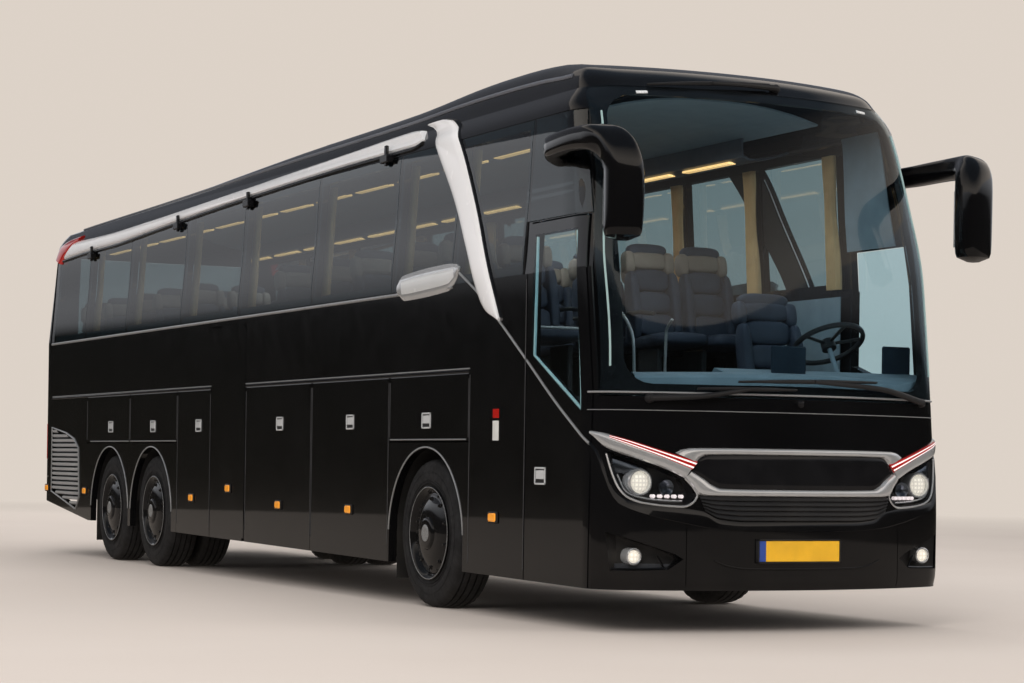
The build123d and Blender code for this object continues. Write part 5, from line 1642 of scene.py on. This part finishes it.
# ---- mirrors ----
def mirror_piece(shape):
    """Mirror arm and head as one tube: points (x, place, z) and (half width, half depth)."""
    path = [(1.165, -1.870, 2.945), (1.300, -1.970, 2.972), (1.372, -2.120, 2.985),
            (1.388, -2.400, 2.992), (1.372, -2.620, 2.982), (1.330, -2.750, 2.945),
            (1.295, -2.815, 2.870), (1.278, -2.838, 2.770), (1.276, -2.840, 2.620),
            (1.278, -2.839, 2.480), (1.280, -2.838, 2.400), (1.280, -2.838, 2.366),
            (1.280, -2.838, 2.352)]
    sizes = [(0.055, 0.062), (0.058, 0.066), (0.060, 0.070), (0.064, 0.072), (0.078, 0.080),
             (0.100, 0.092), (0.114, 0.098), (0.119, 0.099), (0.120, 0.098), (0.118, 0.096),
             (0.112, 0.092), (0.092, 0.074), (0.040, 0.032)]
    stops = [0.0]
    for a, b in zip(path, path[1:]):
        stops.append(stops[-1] + (Vector(b) - Vector(a)).length)
    line = rounded([(x, at(d), z) for x, d, z in path], 60)
    wide, deep = (smooth(stops, [size[k] for size in sizes]) for k in (0, 1))
    rings = []
    for i, point in enumerate(line):
        way = (line[min(i + 1, 59)] - line[max(i - 1, 0)]).normalized()
        across = Vector((1, 0.35, 0))
        across = (across - way * across.dot(way)).normalized()
        over = way.cross(across)
        place = stops[-1] * i / 59
        rings.append([point + across * (wide(place) * signed_power(math.cos(a), 0.62))
                      + over * (deep(place) * signed_power(math.sin(a), 0.62))
                      for a in (2 * math.pi * k / 28 for k in range(28))])
    return shape.tube(rings)


mirror_shells = pair(mirror_piece, "mirror_shells", coach_black, slot="mirror_shell")
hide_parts("mirrors")
mirror_backs = Shape()
mirror_backs.skin([[Vector((1.200 + 0.160 * c / 8, at(-2.744 + 0.004 * math.sin(math.pi * c / 8)),
                            2.45 + 0.36 * r / 10)) for c in range(9)] for r in range(11)], 0.008)
mirror_backs.mirrored().piece("mirror_glasses", chrome)


# ---- cabin ----
def pillow(shape, centre, size, turn=0.0, edge=0.32, across=20, around=28, pinch=0.0):
    """A crowned cushion: a rounded block whose faces swell; turn tips it about x."""
    centre, (a, b, c) = Vector(centre), size
    spin = Matrix.Rotation(turn, 3, "X")
    rings = []
    for i in range(1, across):
        lat = -math.pi / 2 + math.pi * i / across
        ring = []
        for j in range(around):
            lon = 2 * math.pi * j / around
            x = a / 2 * signed_power(math.cos(lat), edge) * signed_power(math.cos(lon), edge)
            y = b / 2 * signed_power(math.cos(lat), edge) * signed_power(math.sin(lon), edge)
            z = c / 2 * signed_power(math.sin(lat), edge + 0.25)
            swell = 1 - pinch * (abs(2 * x / a) ** 2 + abs(2 * y / b) ** 2) / 2
            ring.append(centre + spin @ Vector((x, y, z * swell)))
        rings.append(ring)
    return shape.tube(rings)


SEAT_ROWS = [-0.560 + 0.830 * k for k in range(12)]
DECK, PLATFORM = 1.480, 1.040
MID_DOOR = (3.795, 4.635)


def seat(navy, beige, x, front, base, width=0.43):
    """One seat: base pad, ribbed back, bolsters and headrest."""
    lean = 0.20
    pillow(navy, (x, at(front + 0.235), base + 0.435), (width - 0.02, 0.47, 0.115), -0.05,
           pinch=0.25)
    for k in range(3):
        pillow(navy, (x, at(front + 0.475 + 0.045 * k), base + 0.56 + 0.165 * k),
               (width - 0.13, 0.085, 0.175), -lean, 0.4, 12, 20, 0.2)
    for side in (-1, 1):
        pillow(navy, (x + side * (width / 2 - 0.045), at(front + 0.500), base + 0.70),
               (0.075, 0.135, 0.52), -lean, 0.45, 14, 16, 0.1)
        pillow(beige, (x + side * (width / 2 - 0.050), at(front + 0.598), base + 1.02),
               (0.085, 0.110, 0.17), -lean, 0.5, 12, 14, 0.1)
    pillow(beige, (x, at(front + 0.603), base + 1.035), (width - 0.12, 0.085, 0.13), -lean, 0.4, 12,
           20, 0.1)
    pillow(navy, (x, at(front + 0.625), base + 1.115), (width - 0.10, 0.075, 0.10), -lean, 0.5, 12,
           20, 0.1)
    navy.box((x - width / 2 + 0.03, at(front + 0.545), base + 0.42),
             (x + width / 2 - 0.03, at(front + 0.60), base + 0.56), 0.02)


number = 0
for side, s in SIDES.items():
    for start in SEAT_ROWS:
        if side == "right" and start + 0.720 > MID_DOOR[0] and start < MID_DOOR[1]:
            continue
        number += 1
        navy, beige, legs = Shape(), Shape(), Shape()
        for x in (0.505, 0.960):
            seat(navy, beige, s * x, start, DECK)
        for x in (0.36, 0.73, 1.10):
            legs.box((s * x - 0.02, at(start + 0.14), DECK),
                     (s * x + 0.02, at(start + 0.42), DECK + 0.375), 0.006)
        legs.pipe([(s * 0.285, at(start + 0.10), DECK + 0.62),
                   (s * 0.285, at(start + 0.30), DECK + 0.64),
                   (s * 0.285, at(start + 0.50), DECK + 0.64)], 0.016, 10)
        cushions = navy.piece(f"seat_{number:02d}", navy_leather, slot="seat_cover", sharp=60)
        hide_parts("passenger_seats")
        trim = beige.piece(f"seat_{number:02d}_shoulders", beige_leather, slot="seat_cover",
                           sharp=60)
        legs.piece(f"seat_{number:02d}_frame", chassis_black)
navy, beige = Shape(), Shape()
seat(navy, beige, 0.640, -1.960, PLATFORM, 0.50)
driver = navy.piece("driver_cushions", navy_leather, slot="seat_cover", sharp=60)
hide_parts("driver_seat")
beige.piece("driver_shoulders", navy_leather, slot="seat_cover", sharp=60)
base = Shape().box((0.44, at(-1.86), PLATFORM), (0.84, at(-1.52), 1.10), 0.015)
base.box((0.52, at(-1.80), 1.08), (0.76, at(-1.58), 1.40), 0.03)
base.piece("driver_seat_base", satin_black)


def curtain(name, s, d):
    """A gathered curtain beside a window post, hung from the rail above."""
    top, bottom, span, folds = 3.170, 2.250, 0.135, 6
    columns, rows = 61, 12
    flat, grid_rows = 0.0, []
    for r in range(rows):
        v = r / (rows - 1)
        z = top + (bottom - top) * v
        pinch = 1 - 0.30 * math.sin(math.pi * min(1, v * 1.25)) ** 2
        half = outline(step_of(z))[1] - 0.095
        row = []
        for c in range(columns):
            u = c / (columns - 1)
            wave = math.sin(2 * math.pi * folds * u + 0.5 * math.sin(5 * v + d))
            fold = wave * (0.018 + 0.006 * v)
            row.append(Vector((s * (half - 0.022 + fold), at(d + (u - 0.5) * span * pinch), z)))
        grid_rows.append(row)
        flat += sum((b - a).length for a, b in zip(row, row[1:]))
    piece = Shape().skin(grid_rows, 0.0012).piece(name, curtain_cloth)


for side, s in SIDES.items():
    for k, d in enumerate(PANES[1:-1]):
        curtain(f"curtain_{side}_{k + 1}", s, d)
curtain("curtain_left_0", 1, -1.440)


def lining(s, corners):
    """Flat inside panel a hand's width inside a side."""
    def place(d, z):
        return Vector((s * (outline(step_of(z))[1] - 0.100), at(d), z))
    return Shape().skin(quad_rows(corners, place), 0.008 * s)


for side, s in SIDES.items():
    lining(s, [(-2.16, 2.50), (-1.600, 2.50), (-1.600, 3.27),
               (-2.02, 3.27)]).piece(f"cab_lining_{side}", cab_grey)
    if side == "left":
        lining(s, field(-1.50, -0.72, 1.50, 2.20)).piece("cab_pillar", cab_grey)

racks, glow = Shape(), Shape()
for s in (1, -1):
    racks.skin([[Vector((s * x, at(d), z)) for d in [-0.9 + 10.4 * k / 40 for k in range(41)]]
                for x, z in ((1.115, 3.262), (1.00, 3.222), (0.86, 3.195), (0.79, 3.192),
                             (0.742, 3.210), (0.735, 3.255), (0.738, 3.330))], 0.014 * s)
    for k in range(12):
        d = -0.70 + 0.86 * k
        glow.box((min(s * 0.740, s * 0.800), at(d), 3.172),
                 (max(s * 0.740, s * 0.800), at(d + 0.66), 3.188), 0.003)
racks = racks.piece("rack_shelves", rack_plastic, slot="rack")
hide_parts("luggage_racks")
glow.piece("cabin_lights", cabin_glow)
ceiling = Shape().skin([[Vector((-0.80 + 1.60 * c / 16, at(-1.75 + 11.5 * r / 30),
                                 3.43 - 0.10 * abs(2 * c / 16 - 1) ** 2.4))
                         for c in range(17)] for r in range(31)], 0.012)
ceiling.piece("ceiling", ceiling_cloth)
rails = Shape()
for points in ([(-0.30, -0.70, 1.48), (-0.30, -0.72, 1.98), (-0.30, -0.95, 2.08),
                (-0.30, -1.22, 1.85), (-0.30, -1.26, 1.04)],
               [(0.24, -0.70, 1.48), (0.24, -0.72, 1.96), (0.24, -0.80, 2.04)],
               [(-0.34, -0.75, 1.95), (-1.10, -0.75, 1.95)]):
    rails.pipe([tuple(p) for p in rounded([(x, at(d), z) for x, d, z in points], 40)], 0.011, 12)
rails.piece("handrails", satin_silver)
dash = Shape().box((0.28, at(-2.36), 1.56), (1.16, at(-2.22), 1.60), 0.02)
dash.piece("dash_strip", dash_beige)
ledge = []
for out, z in ((-0.050, 1.500), (-0.060, 1.548), (-0.085, 1.566), (-0.160, 1.580), (-0.240, 1.588),
               (-0.310, 1.584), (-0.335, 1.566), (-0.338, 1.500)):
    face = [on_front(-1.04 + 2.16 * c / 40, 1.56, out) for c in range(41)]
    ledge.append([Vector((p.x, p.y, z + 0.020 * math.cos(math.pi * p.x / 2.3))) for p in face])
Shape().skin(ledge, 0.006).piece("dash_ledge", dash_plastic, slot="dash")
screens = Shape().box((0.04, at(-2.42), 1.60), (0.30, at(-2.40), 1.79), 0.008)
screens.box((0.95, at(-2.33), 1.62), (1.17, at(-2.31), 1.82), 0.008)
screens.piece("dash_screens", blank_screen)
stalks = Shape().pipe([(0.20, at(-2.41), 1.45), (0.20, at(-2.41), 1.62)], 0.014, 10)
stalks.pipe([(1.06, at(-2.33), 1.48), (1.06, at(-2.32), 1.64)], 0.014, 10)
stalks.piece("screen_stalks", satin_black)


# ---- rear ----
for name, stops, high, low, height, finish in (
        ("rear_line", (-1.20, 0, 1.20), 1.660, 1.646, 0.006, satin_silver),
        ("rear_belt", (-1.22, 0, 1.22), 2.232, 2.206, 0.010, satin_silver)):
    level_strip(Shape(), stops, high, low, on_rear, height, 50, 6).piece(name, finish)
louvres = Shape()
for k in range(16):
    z = 0.90 + 0.040 * k
    level_strip(louvres, (-0.70, 0.70), z + 0.024, z, on_rear, 0.010, 30, 4)
louvres.piece("engine_lid_louvres", satin_black, "engine_lid")
rear_plate = Shape().box((-0.26, at(REAR - 0.003), 0.685), (0.26, at(REAR + 0.006), 0.795), 0.002)
rear_plate.piece("rear_plate", plate_yellow)
# The rear reflectors take the red lamp lens finish, so they glow faintly though they are no lamps:
# a painted glow.
pair(lambda s: level_strip(s, (0.86, 1.04), 0.700, 0.655, on_rear, 0.008, 12), "rear_reflectors",
     lens_red)
pair(lambda s: level_strip(s, (0.88, 1.02), 0.800, 0.730, on_rear, 0.010, 12), "rear_fog_lamps",
     lens_red)
level_strip(Shape(), (-0.30, 0.30), 3.225, 3.195, on_rear, 0.010, 50,
            6).piece("rear_stop_lamp", lens_red)

LIDS = [f"{lid}_{side}" for lid in LID_PLACES for side in SIDES]
FLAPS = [f"luggage_flap_{side}_{number}" for side in SIDES for number in (1, 2, 3)]
repaint(coach_black, "side_wall_left", "side_wall_right", "rear_wall", "rear_bumper", "engine_lid",
        "front_door", "mid_door", *LIDS, *FLAPS)
repaint(screen_glass, "front_door_glass")
repaint(carpet, "floor")
repaint(chassis_black, "underframe", "front_door_arm")
repaint(matt_black, "mudguards")
repaint(cast_iron, "front_axle", "tag_axle", "drive_axle", "engine",
        *[f"{axle}_knuckle_{side}" for axle in ("front", "tag") for side in SIDES])
repaint(dash_plastic, "dashboard")
repaint(satin_black, "steering_wheel")
